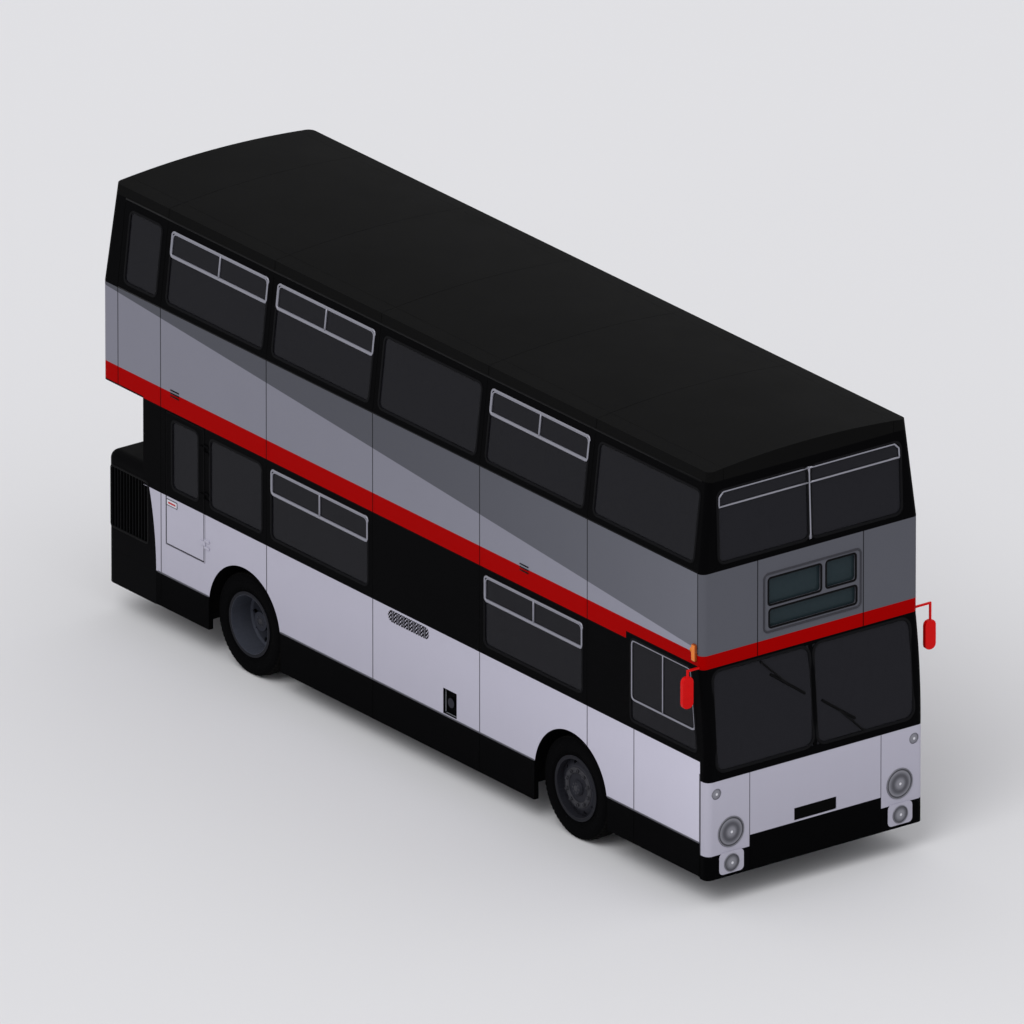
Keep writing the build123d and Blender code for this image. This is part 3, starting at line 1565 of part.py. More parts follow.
with BuildPart() as lamps:
    for side in (-1, 1):
        for x, y, z, radius in (
            (front_x, headlamp_y, headlamp_z, headlamp_radius),
            (front_x + fog_block_proud, headlamp_y, fog_z, fog_radius),
            (front_x - 8, side_lamp_y, side_lamp_z, side_lamp_radius),
        ):
            add_lamp(Plane(origin=(x, side * y, z), z_dir=forwards), radius, lamp_depth)
        for z in rear_lamp_z:
            rear_lamp_x = bustle_x - glazing_gap - rear_lamp_depth
            facing = Plane(origin=(rear_lamp_x, side * rear_lamp_y, z), z_dir=backwards)
            add_lamp(facing, rear_lamp_radius, rear_lamp_depth)
        marker_y = side * (half + glazing_gap + marker_depth)
        facing = Plane(origin=(marker_x, marker_y, marker_z), z_dir=across(side))
        add_lamp(facing, marker_radius, marker_depth)
keep("lamps", lamps)

# ---- mirrors and wipers -------------------------------------------------------------
mirror_tube = 9
mirror_arm_x = 4548
mirror_arm_z = 2345

arm_reach = mirror_arm_x - mirror_tube - (upper_front_x - corner_radius)
corner_drop = (corner_radius**2 - arm_reach**2) ** 0.5

with BuildPart() as mirrors:
    for side, arm_length, drop, head_height in ((-1, 130, 60, 310), (1, 170, 170, 290)):
        with BuildSketch(Plane.YZ.offset(mirror_arm_x)) as arm_side:
            root = half - corner_radius + corner_drop + glazing_gap
            with BuildLine():
                Polyline(
                    (side * root, mirror_arm_z + mirror_tube),
                    (side * (root + arm_length + mirror_tube), mirror_arm_z + mirror_tube),
                    (side * (root + arm_length + mirror_tube), mirror_arm_z - drop - head_height / 2),
                    (side * (root + arm_length - mirror_tube), mirror_arm_z - drop - head_height / 2),
                    (side * (root + arm_length - mirror_tube), mirror_arm_z - mirror_tube),
                    (side * root, mirror_arm_z - mirror_tube),
                    close=True,
                )
            make_face()
        extrude(amount=mirror_tube, both=True)
        with BuildSketch(Plane.YZ.offset(mirror_arm_x - 30)):
            with Locations((side * (root + arm_length), mirror_arm_z - drop - head_height / 2)):
                eased(120, head_height, 50)
        extrude(amount=40)
keep("mirrors", mirrors)

wiper_arm = (280, -270)  # from a pivot to the middle of its blade, across and up
wiper_blade = (380, -270)  # along the blade
wiper_pivots = ((-570, 2252, 1), (556, 1332, -1))
wiper_depth = 12
arm_width = 14
blade_width = 10

with BuildPart() as wipers:
    for y, z, turn in wiper_pivots:
        tip = (y + turn * wiper_arm[0], z + turn * wiper_arm[1])
        half_blade = (wiper_blade[0] / 2, wiper_blade[1] / 2)
        with BuildSketch(Plane.YZ):
            with BuildLine() as arm_line:
                Line((y, z), tip)
            trace(arm_line.edges(), line_width=arm_width)
            with BuildLine() as blade_line:
                Line(
                    (tip[0] - half_blade[0], tip[1] - half_blade[1]),
                    (tip[0] + half_blade[0], tip[1] + half_blade[1]),
                )
            trace(blade_line.edges(), line_width=blade_width)
            with Locations((y, z)):
                Circle(arm_width)
        extrude(amount=2 * front_x)
    add(
        layer(lower_solid, glass_inset - glazing_gap - wiper_depth, wiper_depth),
        mode=Mode.INTERSECT,
    )
keep("wipers", wipers)

# ---- cab ----------------------------------------------------------------------------
desk_rear_x = 4300
desk_top_z = 1120
cab_inner_y = cab_floor_y - 20
column_radius = 32
shaft_radius = 12
spoke_width = 22

column_plane = Plane(
    origin=wheel_hub,
    x_dir=(0, 1, 0),
    z_dir=(-sin(radians(wheel_tilt)), 0, cos(radians(wheel_tilt))),
)
column_drop = 60  # top of the fixed column, below the wheel's middle
column_length = (wheel_hub[2] - saloon_floor_z) / cos(radians(wheel_tilt)) + column_radius

with BuildPart() as dashboard:
    with BuildSketch(Plane.XZ.offset(-cab_inner_y)):
        with BuildLine():
            Polyline(
                (desk_rear_x, saloon_floor_z),
                (dash_seam_x - 10, saloon_floor_z),
                (dash_seam_x - 10, desk_top_z + 60),
                (desk_rear_x + 120, desk_top_z + 60),
                (desk_rear_x - 40, desk_top_z - 60),
                (desk_rear_x - 40, desk_top_z - 130),
                (desk_rear_x, desk_top_z - 150),
                close=True,
            )
        make_face()
    extrude(amount=inner_half + cab_inner_y)
    with BuildSketch(column_plane.offset(-column_drop)):
        Circle(column_radius)
    extrude(amount=column_drop - column_length)
    with BuildSketch(Plane.XY.offset(saloon_floor_z)):
        Rectangle(4 * front_x, 2 * body_width)
    extrude(amount=-saloon_floor_z, mode=Mode.SUBTRACT)
    with BuildSketch(column_plane.offset(-column_drop)):
        Circle(shaft_radius + running_gap)
    extrude(amount=-60, mode=Mode.SUBTRACT)
keep("dashboard", dashboard)

with BuildPart() as steering_wheel:
    with BuildSketch(Plane(origin=wheel_hub, x_dir=column_plane.x_dir, z_dir=column_plane.y_dir)):
        with Locations((wheel_ring_radius, 0)):
            RegularPolygon(15, 6)
    revolve(axis=Axis(wheel_hub, column_plane.z_dir))
    with BuildSketch(column_plane.offset(-12)):
        Circle(48)
        for turn in (90, 210, 330):
            with Locations(Location((0, 0), turn)):
                with Locations((wheel_ring_radius / 2, 0)):
                    Rectangle(wheel_ring_radius, spoke_width)
    extrude(amount=16)
    with BuildSketch(column_plane.offset(-12)):
        Circle(shaft_radius)
    extrude(amount=-column_drop - 20)
keep("steering_wheel", steering_wheel)

partition_x = platform_step_x + 12
partition_thickness = 25
gate_height = 900
gate_length = 700

with BuildPart() as cab_partition:
    with BuildSketch(Plane.YZ.offset(partition_x)):
        with Locations(
            (
                (cab_inner_y - inner_half) / 2,
                (saloon_floor_z + upper_floor_z - floor_thickness) / 2,
            )
        ):
            Rectangle(
                inner_half + cab_inner_y, upper_floor_z - floor_thickness - saloon_floor_z
            )
        with Locations(((cab_inner_y - inner_half) / 2, 1850)):
            eased(640, 620, 50, mode=Mode.SUBTRACT)
    extrude(amount=partition_thickness)
    with BuildSketch(Plane.XZ.offset(-cab_inner_y)):
        with Locations((partition_x + gate_length / 2, saloon_floor_z + gate_height / 2)):
            eased(gate_length, gate_height, 12)
    extrude(amount=partition_thickness)
keep("cab_partition", cab_partition)

# ---- seats --------------------------------------------------------------------------
bench_width = 860
seat_height = 430
seat_depth = 430
cushion = 90
back_height = 480
back_thickness = 60
seat_pitch = 730
rear_bench_end = 480  # on the offside, leaving the emergency door clear
wall_gap = 10


def bench_sketch(plane, front, floor_z, faces=1):
    """Side view of a bench: cushion, raked back and a foot under it."""
    f = faces
    top = floor_z + seat_height
    with BuildSketch(plane) as sketch:
        with BuildLine():
            Polyline(
                (front - f * 120, floor_z),
                (front - f * 120, top - cushion),
                (front, top - cushion),
                (front, top - 12),
                (front - f * 20, top),
                (front - f * (seat_depth - back_thickness), top - 25),
                (front - f * (seat_depth + 20), top + back_height),
                (front - f * (seat_depth + 50), top + back_height + 10),
                (front - f * (seat_depth + back_thickness + 20), top + back_height),
                (front - f * (seat_depth + 10), top - cushion - 20),
                (front - f * 300, top - cushion),
                (front - f * 180, floor_z),
                close=True,
            )
        make_face()
    return sketch.sketch


def add_bench(side, front, floor_z, width=bench_width):
    """One bench against a side wall, facing forwards."""
    wall_side = side * (inner_half - wall_gap)
    plane = Plane.XZ.offset(-wall_side)
    extrude(bench_sketch(plane, front, floor_z), amount=width, dir=across(-side))


stairwell = (stair_head_x - 150, stair_foot_x + 560)
upper_nearside_fronts = [3930 - seat_pitch * i for i in range(11)]
upper_offside_fronts = [
    front
    for front in upper_nearside_fronts
    if front < stairwell[0] or front - seat_depth - 2 * back_thickness > stairwell[1]
]
lower_nearside_fronts = [1720 - seat_pitch * i for i in range(5)]
lower_offside_fronts = [-560, -560 - seat_pitch]

with BuildPart() as seats:
    for front in upper_nearside_fronts:
        add_bench(1, front, upper_floor_z)
    for front in upper_offside_fronts:
        add_bench(-1, front, upper_floor_z)
    for front in lower_nearside_fronts:
        add_bench(1, front, saloon_floor_z)
    for front in lower_offside_fronts:
        add_bench(-1, front, saloon_floor_z)
    rear_bench_x = rear_wall_x + wall + wall_gap
    rear_bench_y = (inner_half - wall_gap - rear_bench_end) / 2
    for depth, height in (
        (seat_depth + back_thickness, seat_height),
        (back_thickness, seat_height + back_height),
    ):
        with BuildSketch(Plane.XY.offset(saloon_floor_z)):
            with Locations((rear_bench_x + depth / 2, rear_bench_y)):
                Rectangle(depth, inner_half - wall_gap + rear_bench_end)
        extrude(amount=height)
    with BuildSketch(Plane.XY.offset(saloon_floor_z)):
        with Locations((3600, wheel_hub[1])):
            Rectangle(220, 220)
    extrude(amount=240)
    with BuildSketch(Plane.XY.offset(saloon_floor_z + 240)):
        with Locations((3600, wheel_hub[1])):
            eased(460, 480, 60)
    extrude(amount=110)
    with BuildSketch(Plane.XY.offset(saloon_floor_z + 350)):
        with Locations((3410, wheel_hub[1])):
            eased(80, 460, 30)
    extrude(amount=560)
keep("seats", seats)

# ---- write every piece --------------------------------------------------------------
for name, piece in parts.items():
    export_step(piece, "parts/" + name + ".step")
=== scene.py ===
"""Finishes and fittings of a double-decker bus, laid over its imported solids.

Metres throughout. +X is the front, +Y the nearside with the entrance, +Z up.
"""
import json

import bpy
import numpy as np
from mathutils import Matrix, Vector

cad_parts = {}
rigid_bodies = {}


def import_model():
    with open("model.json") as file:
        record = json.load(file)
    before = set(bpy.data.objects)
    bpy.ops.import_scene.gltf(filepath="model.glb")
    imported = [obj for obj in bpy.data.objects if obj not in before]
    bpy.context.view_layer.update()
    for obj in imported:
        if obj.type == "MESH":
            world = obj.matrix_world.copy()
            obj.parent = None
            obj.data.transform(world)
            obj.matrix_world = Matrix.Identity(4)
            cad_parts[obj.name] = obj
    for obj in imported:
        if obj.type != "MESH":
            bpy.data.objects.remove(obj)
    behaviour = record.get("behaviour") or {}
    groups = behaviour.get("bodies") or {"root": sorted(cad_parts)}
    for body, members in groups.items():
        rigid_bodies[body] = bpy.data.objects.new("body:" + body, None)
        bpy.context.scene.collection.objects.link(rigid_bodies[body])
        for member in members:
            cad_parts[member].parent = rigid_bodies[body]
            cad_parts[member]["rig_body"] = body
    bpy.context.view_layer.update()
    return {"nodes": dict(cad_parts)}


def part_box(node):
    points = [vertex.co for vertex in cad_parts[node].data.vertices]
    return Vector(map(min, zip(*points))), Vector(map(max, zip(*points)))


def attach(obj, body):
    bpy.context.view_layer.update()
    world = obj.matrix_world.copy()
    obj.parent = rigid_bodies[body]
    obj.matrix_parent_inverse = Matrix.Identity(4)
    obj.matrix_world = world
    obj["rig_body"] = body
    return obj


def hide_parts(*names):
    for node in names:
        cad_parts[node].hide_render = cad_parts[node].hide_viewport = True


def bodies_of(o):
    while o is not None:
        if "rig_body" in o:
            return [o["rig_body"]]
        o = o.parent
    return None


bl_info = {
    "name": "Double-decker bus finishes",
    "version": (1, 0, 0),
    "blender": (4, 5, 0),
    "location": "View3D > Sidebar > Bus",
    "description": "Livery, window seals, lamps, wheels, tyres and fittings of a double-decker bus",
    "category": "Object",
}

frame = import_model()
NODES = frame["nodes"]

# ---- places that the finishes and fittings share --------------------------------------
HALF = 1.250
WAIST = 3.274
LEAN = (1.25 - 1.138) / (4.237 - 3.274)
SCREEN_FOOT = 1.275
SCREEN_RISE = 1.05
SCREEN_BACK = 0.085
LOWER_FRONT = 4.676
UPPER_FRONT = 4.594
FRONT_RAKE = 0.040 / (4.237 - 3.274)
REAR = -4.676
REAR_RAKE = 0.060 / (4.237 - 3.274)
FIRST_BAY, PITCH = -3.763, 1.652
BAYS = tuple(FIRST_BAY + PITCH * i for i in range(5))
FRONT_SEAM = 4.527
UPPER_SILL, UPPER_HEAD = 3.345, 4.040
LOWER_SILL, LOWER_HEAD = 1.515, 2.205
FRONT_AXLE, REAR_AXLE = 2.593, -2.459
HUB = 0.5
ARCH = 0.580
NUT_RING = 0.1675
FILLER = (0.734, 0.757)
REPEATER = (4.490, 2.480)


def linear(red, green, blue):
    """A colour given in 0-255 steps as the eye sees them, as linear light with alpha 1.

    Below a small threshold the curve is a straight line; above it, it is a power of 2.4.
    """
    steps = np.array((red, green, blue)) / 255.0
    light = np.where(steps <= 0.04045, steps / 12.92, ((steps + 0.055) / 1.055) ** 2.4)
    return (*light.tolist(), 1.0)


# ---- what a user would change ---------------------------------------------------------


def paint(name, description, colour):
    """A colour setting."""
    return bpy.props.FloatVectorProperty(
        name=name, description=description, default=colour, size=4, subtype="COLOR", min=0, max=1
    )


def length(name, description, metres):
    """A length setting, in metres."""
    return bpy.props.FloatProperty(
        name=name, description=description, default=metres, unit="LENGTH", min=0.0
    )


class BusPaints(bpy.types.PropertyGroup):
    """Colours of the livery and the trim."""

    white: paint("White", "Lower panels", linear(179, 177, 191))
    pale_grey: paint("Pale grey", "Upper panels below the slanting line", linear(127, 127, 138))
    dark_grey: paint("Dark grey", "Upper panels above the slanting line", linear(83, 84, 91))
    red: paint("Red", "Band between the decks", linear(156, 0, 0))
    black: paint("Black", "Window bands, skirt and bustle", linear(5, 5, 6))
    roof: paint("Roof", "Outside of the roof", linear(14, 14, 14))
    trim: paint("Inner trim", "Saloon walls and ceiling", linear(132, 134, 140))
    bright: paint("Light metal", "Window bars and beads", linear(150, 150, 160))
    mirror: paint("Mirror red", "Backs and arms of the mirrors", linear(206, 3, 4))
    cloth: paint("Seat cloth", "Ground colour of the seats", linear(38, 48, 82))


class BusSizes(bpy.types.PropertyGroup):
    """Sizes of the fittings."""

    seal_width: length("Seal width", "Width of a window's rubber seal", 0.026)
    seal_proud: length("Seal height", "How far a seal stands out of the panel", 0.006)
    bar_width: length("Bar width", "Width of a light-metal window bar", 0.020)
    groove_depth: length("Tread depth", "Depth of a tyre's tread grooves", 0.012)
    seam_width: length("Seam width", "Width of the gap between two panels", 0.012)


class BusStudio(bpy.types.PropertyGroup):
    """Floor, light and camera."""

    floor: paint("Floor", "Colour of the floor and background", linear(226, 226, 228))
    sky: bpy.props.FloatProperty(
        name="Sky", description="Strength of the even light", default=0.80, min=0
    )
    sun: bpy.props.FloatProperty(
        name="Key light", description="Strength of the soft key light", default=0.9, min=0
    )
    lens: bpy.props.FloatProperty(
        name="Lens", description="Focal length in millimetres", default=1500.0, min=50.0
    )


# ---- shader sums ----------------------------------------------------------------------


class Wire:
    """A number or colour on its way through a material, which Python's operators extend."""

    def __init__(self, finish, socket):
        self.finish = finish
        self.socket = socket

    def _sum(self, operation, first, second=None, clamp=False):
        """One Math node of the given operation."""
        links = {0: first} if second is None else {0: first, 1: second}
        settings = {"operation": operation, "use_clamp": clamp}
        return self.finish.add("ShaderNodeMath", settings, links)

    def __add__(self, other):
        return self._sum("ADD", self, other)

    __radd__ = __add__

    def __sub__(self, other):
        return self._sum("SUBTRACT", self, other)

    def __rsub__(self, other):
        return self._sum("SUBTRACT", other, self)

    def __mul__(self, other):
        return self._sum("MULTIPLY", self, other)

    __rmul__ = __mul__

    def __truediv__(self, other):
        return self._sum("DIVIDE", self, other)

    def __pow__(self, other):
        return self._sum("POWER", self, other)

    def __or__(self, other):
        return self._sum("MAXIMUM", self, other)

    def __and__(self, other):
        return self._sum("MINIMUM", self, other)

    def __abs__(self):
        return self._sum("ABSOLUTE", self)

    def past(self, mark, soft=0.001):
        """0 below the mark and 1 above it, turning over within a soft width."""
        return ((self - mark) * (1.0 / soft)).plus_half()

    def plus_half(self):
        """Adds a half and keeps the answer between 0 and 1."""
        return self._sum("ADD", self, 0.5, clamp=True)

    def between(self, low, high, soft=0.001):
        """1 between two marks, 0 outside them."""
        return self.past(low, soft) * (1 - self.past(high, soft))

    def near(self, mark, width, soft=0.001):
        """1 within half a width of the mark."""
        return 1 - abs(self - mark).past(width / 2, soft)

    def sine(self):
        return self._sum("SINE", self)

class Finish:
    """One material: object coordinates in, a principled surface out."""

    def __init__(self, name):
        self.material = bpy.data.materials.new(name)
        self.material.use_nodes = True
        self.tree = self.material.node_tree
        self.shader = self.tree.nodes["Principled BSDF"]
        place = self.tree.nodes.new("ShaderNodeTexCoord")
        self.point = Wire(self, place.outputs["Object"])
        split = self.tree.nodes.new("ShaderNodeSeparateXYZ")
        self.tree.links.new(place.outputs["Object"], split.inputs[0])
        self.x, self.y, self.z = (Wire(self, split.outputs[i]) for i in range(3))

    def add(self, kind, settings=None, links=None, output=0):
        """A node of a kind, with its settings made first and then its values or links."""
        node = self.tree.nodes.new(kind)
        for key, value in (settings or {}).items():
            setattr(node, key, value)
        for key, value in (links or {}).items():
            if isinstance(value, Wire):
                self.tree.links.new(value.socket, node.inputs[key])
            else:
                node.inputs[key].default_value = value
        return Wire(self, node.outputs[output])

    def mix(self, mask, first, second):
        """The first colour where the mask is 0, the second where it is 1."""
        settings = {"data_type": "RGBA", "clamp_factor": True}
        return self.add("ShaderNodeMix", settings, {0: mask, 6: first, 7: second}, 2)

    def shade(self, colour, amount):
        """A colour made lighter or darker by a number."""
        settings = {"data_type": "RGBA", "blend_type": "MULTIPLY"}
        grey = self.add("ShaderNodeCombineColor", {}, {0: amount, 1: amount, 2: amount})
        return self.add("ShaderNodeMix", settings, {0: 1.0, 6: colour, 7: grey}, 2)

    def noise(self, scale, detail=4.0, rough=0.5, stretch=(1, 1, 1)):
        """Cloudy values about a half, at a number of features to the metre."""
        place = self.add("ShaderNodeMapping", {}, {"Vector": self.point, "Scale": stretch})
        links = {"Vector": place, "Scale": scale, "Detail": detail, "Roughness": rough}
        return self.add("ShaderNodeTexNoise", {}, links)

    def cells(self, scale):
        """Distance from the middle of the nearest of many scattered spots."""
        return self.add("ShaderNodeTexVoronoi", {}, {"Vector": self.point, "Scale": scale})

    def reach(self, across, up):
        """Distance from a point: the root of the sum of two squares."""
        return (across * across + up * up) ** 0.5

    def axle(self):
        """Offsets from the nearest axle, across and up."""
        place = self.x.past(0.0, 0.01) * (FRONT_AXLE - REAR_AXLE) + REAR_AXLE
        return self.x - place, self.z - HUB

    def close(self, colour, roughness, height=None, metallic=0.0, alpha=None, depth=0.001, **plain):
        """Feeds the surface: colour, roughness, metallic, alpha and a bump of a depth in metres."""
        for name, value in (
            ("Base Color", colour), ("Roughness", roughness), ("Metallic", metallic),
            ("Alpha", alpha),
        ):
            if isinstance(value, Wire):
                self.tree.links.new(value.socket, self.shader.inputs[name])
            elif value is not None:
                self.shader.inputs[name].default_value = value
        for name, value in plain.items():
            self.shader.inputs[name.replace("_", " ")].default_value = value
        if height is not None:
            bump = self.add("ShaderNodeBump", {}, {"Height": height, "Distance": depth})
            self.tree.links.new(bump.socket, self.shader.inputs["Normal"])
        return self.material


# ---- finishes of the body panels ------------------------------------------------------


def settings():
    """The three groups of settings."""
    scene = bpy.context.scene
    return scene.bus_paints, scene.bus_sizes, scene.bus_studio


def side_outside(f):
    """1 on the outer skin of the side walls: beyond a line that leans in over the waist."""
    lean = ((f.z - WAIST) | 0.0) * LEAN
    return (abs(f.y) + lean).past(HALF - 0.026, 0.002)


def front_outside(f):
    """1 on the outer skin of the front: ahead of a line that follows its curve and rake."""
    rise = ((f.z - SCREEN_FOOT) | 0.0) / SCREEN_RISE
    low = f.x + rise * rise * SCREEN_BACK
    high = f.x + ((f.z - WAIST) | 0.0) * FRONT_RAKE + (LOWER_FRONT - UPPER_FRONT)
    upper = f.z.past(2.325, 0.002)
    return (low * (1 - upper) + high * upper).past(LOWER_FRONT - 0.040, 0.002)


def rear_outside(f):
    """1 on the outer skin of the upper rear: behind a line that follows its rake."""
    back = f.x - ((f.z - WAIST) | 0.0) * REAR_RAKE
    return 1 - back.past(REAR + 0.040, 0.002)


def livery(name, outside):
    """Painted panels in bands by height, with a slanting line between two greys.

    Bands turn over within a millimetre. The slanting line falls towards the front by
    73 mm a metre, and a little faster as it goes. The intake's holes are the product of two
    sines, and what lies behind the skin of the lower sides is black. A painted highlight
    makes the sides grow paler towards the front by the square of the distance, and the
    greys of the front are painted paler as painted light. Seams are narrow dark grooves.
    """
    colours, sizes, _ = settings()
    f = Finish(name)
    out = outside(f)
    front = f.x.past(LOWER_FRONT - 0.109, 0.002) | (f.x.past(FRONT_SEAM, 0.002) & f.z.past(2.0))
    cab = f.x.past(3.437, 0.002) * (1 - f.y.past(0))
    red_foot = 2.284 + cab * (1 - front) * 0.070 + front * 0.041
    red_head = 2.476 - front * 0.016
    red = (f.z - red_foot).past(0) * (1 - (f.z - red_head).past(0))
    grey = (f.z - red_head).past(0) * (1 - f.z.past(WAIST - 0.008))
    along = f.x - FIRST_BAY
    line = 3.17 - along * 0.0735 - along * along * 0.00064
    dark = (f.z - line).past(0, 0.004) | front
    corner = abs(f.y).past(0.758)
    white_foot = 0.615 - front * (0.003 + corner * 0.112)
    white_head = 1.418 - front * 0.186
    white = (f.z - white_foot).past(0) * (1 - (f.z - white_head).past(0))
    fog_block = f.x.past(LOWER_FRONT + 0.006) * (1 - f.z.past(0.60))
    white = white | fog_block
    # Painted highlight: the sheen ramp makes the greys and the white of the sides paler towards the
    # front, as painted light.
    rise = ((f.x + 2.0) | 0.0) / 6.4 * (1 - front)
    sheen = rise * rise
    greys = f.mix(dark, colours.pale_grey, colours.dark_grey)
    # Painted light: the greys of the front are painted 16 % paler than those of the sides.
    greys = f.shade(greys, 1 + front * 0.16 + sheen * (0.33 + dark * 0.27))
    colour = f.mix(grey, colours.black, greys)
    colour = f.mix(red, colour, colours.red)
    colour = f.mix(white, colour, f.shade(colours.white, 1 + sheen * 0.26))
    filler = abs(f.x - FILLER[0]).past(0.104) | abs(f.z - FILLER[1]).past(0.1255) | f.y.past(0)
    filler = 1 - filler
    sunk = (1 - abs(f.y).past(HALF - 0.0025)) * (1 - f.z.past(1.42)) * (1 - front)
    beyond = (abs(f.x - 0.094) - 0.258) | 0.0
    slot = 1 - f.reach(beyond, f.z - 1.338).past(0.060, 0.004)
    slot = slot * (1 - f.y.past(0))
    holes = ((f.x * 165).sine() * (f.z * 165).sine()).past(-0.14, 0.24)
    colour = f.mix(sunk | (slot * holes), colour, colours.black)
    seams = 0.0
    for bay in (*BAYS, -4.432):
        seams = f.x.near(bay, sizes.seam_width) | seams
    seams = (f.x.near(3.560, sizes.seam_width) * (1 - f.z.past(1.42))) | seams
    side = 1 - front
    seams = seams * side * (1 - f.z.past(4.10))
    seams = seams | (f.x.near(LOWER_FRONT - 0.109, 0.024) * (1 - f.z.past(1.30)))
    seams = seams | (f.x.near(FRONT_SEAM, 0.012) * f.z.between(2.47, WAIST))
    front_seams = abs(f.y).near(0.61, 0.011) * f.z.between(2.325, WAIST)
    front_seams = front_seams | (abs(f.y).near(0.758, 0.008) * (1 - f.z.past(1.232)))
    seams = seams | (front_seams * front)
    grime = f.noise(1.7, 6, 0.6)
    low = 1 - f.z.past(0.75, 0.9)
    streaks = f.noise(9, 3, 0.5, (1.0, 1.0, 0.06))
    tone = 0.975 + grime * 0.05 - low * (grime * 0.14) - low * streaks * 0.06
    colour = f.shade(colour, tone * (1 - seams * 0.80))
    inner = f.shade(colours.trim, 0.9 + f.noise(40, 2) * 0.2)
    colour = f.mix(out, inner, colour)
    across, up = f.axle()
    lip = (1 - f.reach(across, up | 0.0).past(ARCH + 0.0035)) * (1 - abs(f.y).past(HALF - 0.0015))
    end = (1 - f.x.past(-4.037)) * (1 - f.z.past(2.30))
    colour = f.mix(lip | end | filler, colour, linear(6, 6, 7))
    cap = (1 - f.reach(f.x - FILLER[0], f.z - FILLER[1]).past(0.048, 0.003)) * (1 - f.y.past(0))
    colour = f.mix(cap, colour, linear(48, 48, 54))
    peel = f.noise(55, 2, 0.4)
    ripple = f.noise(2.4, 2, 0.4, (1, 1, 0.6))
    matt = 1 - (white | red | grey)
    roughness = 0.34 + matt * 0.10 + grime * 0.10 + low * 0.10
    height = ripple * 0.9 + peel * 0.05 - seams * 2.0
    return f.close(colour, roughness, height, depth=0.0012, Specular_IOR_Level=0.012)


def bustle_finish():
    """Black satin paint with soot, paler with dust low down and darker along two seams."""
    colours, _, _ = settings()
    f = Finish("bustle_black")
    soot = f.noise(3.2, 6, 0.65)
    fleck = f.noise(60, 3, 0.6)
    dust = (1 - f.z.past(0.7, 0.9)) * soot * 0.9
    seam = f.z.near(1.462, 0.006) | f.z.near(0.615, 0.004)
    colour = f.shade(colours.black, (0.8 + soot * 0.5 + dust + fleck * 0.25) * (1 - seam * 0.5))
    return f.close(colour, 0.42 + soot * 0.2, soot + fleck * 0.15 - seam, depth=0.001,
                   Specular_IOR_Level=0.015)


def roof_finish():
    """Dark roof paint over sheets that meet at the pillars, with dust in the low places."""
    colours, _, _ = settings()
    f = Finish("roof_sheets")
    seams = 0.0
    for bay in BAYS:
        seams = f.x.near(bay, 0.014, 0.002) | seams
    seams = seams | (abs(f.y).near(0.98, 0.006, 0.002))
    dust = f.noise(1.3, 6, 0.6)
    patch = f.noise(8, 3, 0.5)
    rise = f.z + f.y * f.y * 0.049
    out = rise.past(4.262, 0.004) | abs(f.y).past(1.095, 0.002)
    outer = f.shade(colours.roof, (0.86 + dust * 0.24 + patch * 0.08) * (1 - seams * 0.60))
    inner = f.shade(colours.trim, 1.1 + patch * 0.1)
    colour = f.mix(out | (f.x.past(4.50) | (1 - f.x.past(-4.57))), inner, outer)
    return f.close(colour, 0.46 + dust * 0.15, dust + patch * 0.2 - seams * 2, depth=0.0015,
                   Specular_IOR_Level=0.015)


# ---- other finishes -------------------------------------------------------------------


def tinted_glass(name, colour, share, sheen=0.06):
    """Toughened glass: dark, a little clear and faintly wavy, and painted paler in front as painted
    light.
    """
    f = Finish(name)
    wave = f.noise(1.6, 2, 0.4)
    film = f.noise(24, 3, 0.6)
    alpha = share + film * 0.05
    # Painted light: glass ahead of x = 4.50 is painted 34 % paler.
    tone = 0.9 + film * 0.2 + f.x.past(4.50) * 0.34
    return f.close(f.shade(colour, tone), 0.05 + film * 0.05, wave, alpha=alpha, depth=0.002,
                   Specular_IOR_Level=sheen)


def brushed(name, colour, roughness=0.34, metallic=0.85, grain=(1.0, 1.0, 1.0)):
    """Light metal: fine drawn lines along the grain, and a little dulling."""
    f = Finish(name)
    lines = f.noise(420, 2, 0.6, grain)
    dull = f.noise(14, 4, 0.6)
    colour = f.shade(colour, 0.88 + lines * 0.14 + dull * 0.10)
    return f.close(colour, roughness + dull * 0.16, lines, metallic=metallic, depth=0.0002)


def rubber(name, colour, roughness=0.72):
    """Black rubber with a dusty bloom."""
    f = Finish(name)
    bloom = f.noise(30, 4, 0.6)
    grit = f.noise(400, 2, 0.5)
    return f.close(f.shade(colour, 0.75 + bloom * 0.5), roughness + bloom * 0.1, grit,
                   depth=0.0003, Specular_IOR_Level=0.06)


def tyre_finish():
    """Tyre rubber: rings on the sidewall by distance from the axle, dust in the tread."""
    f = Finish("tyre_rubber")
    out = f.reach(*f.axle())
    rings = (out * 900).sine() * out.between(0.335, 0.36, 0.004)
    rings = rings + out.near(0.425, 0.006, 0.002) + out.near(0.455, 0.004, 0.002)
    dust = f.noise(22, 5, 0.65)
    tread = out.past(0.484, 0.006)
    colour = f.mix(tread * dust, linear(6, 6, 7), linear(22, 21, 20))
    return f.close(f.shade(colour, 0.8 + dust * 0.4), 0.74 + dust * 0.14, rings + dust * 0.4,
                   depth=0.0016, Specular_IOR_Level=0.02)


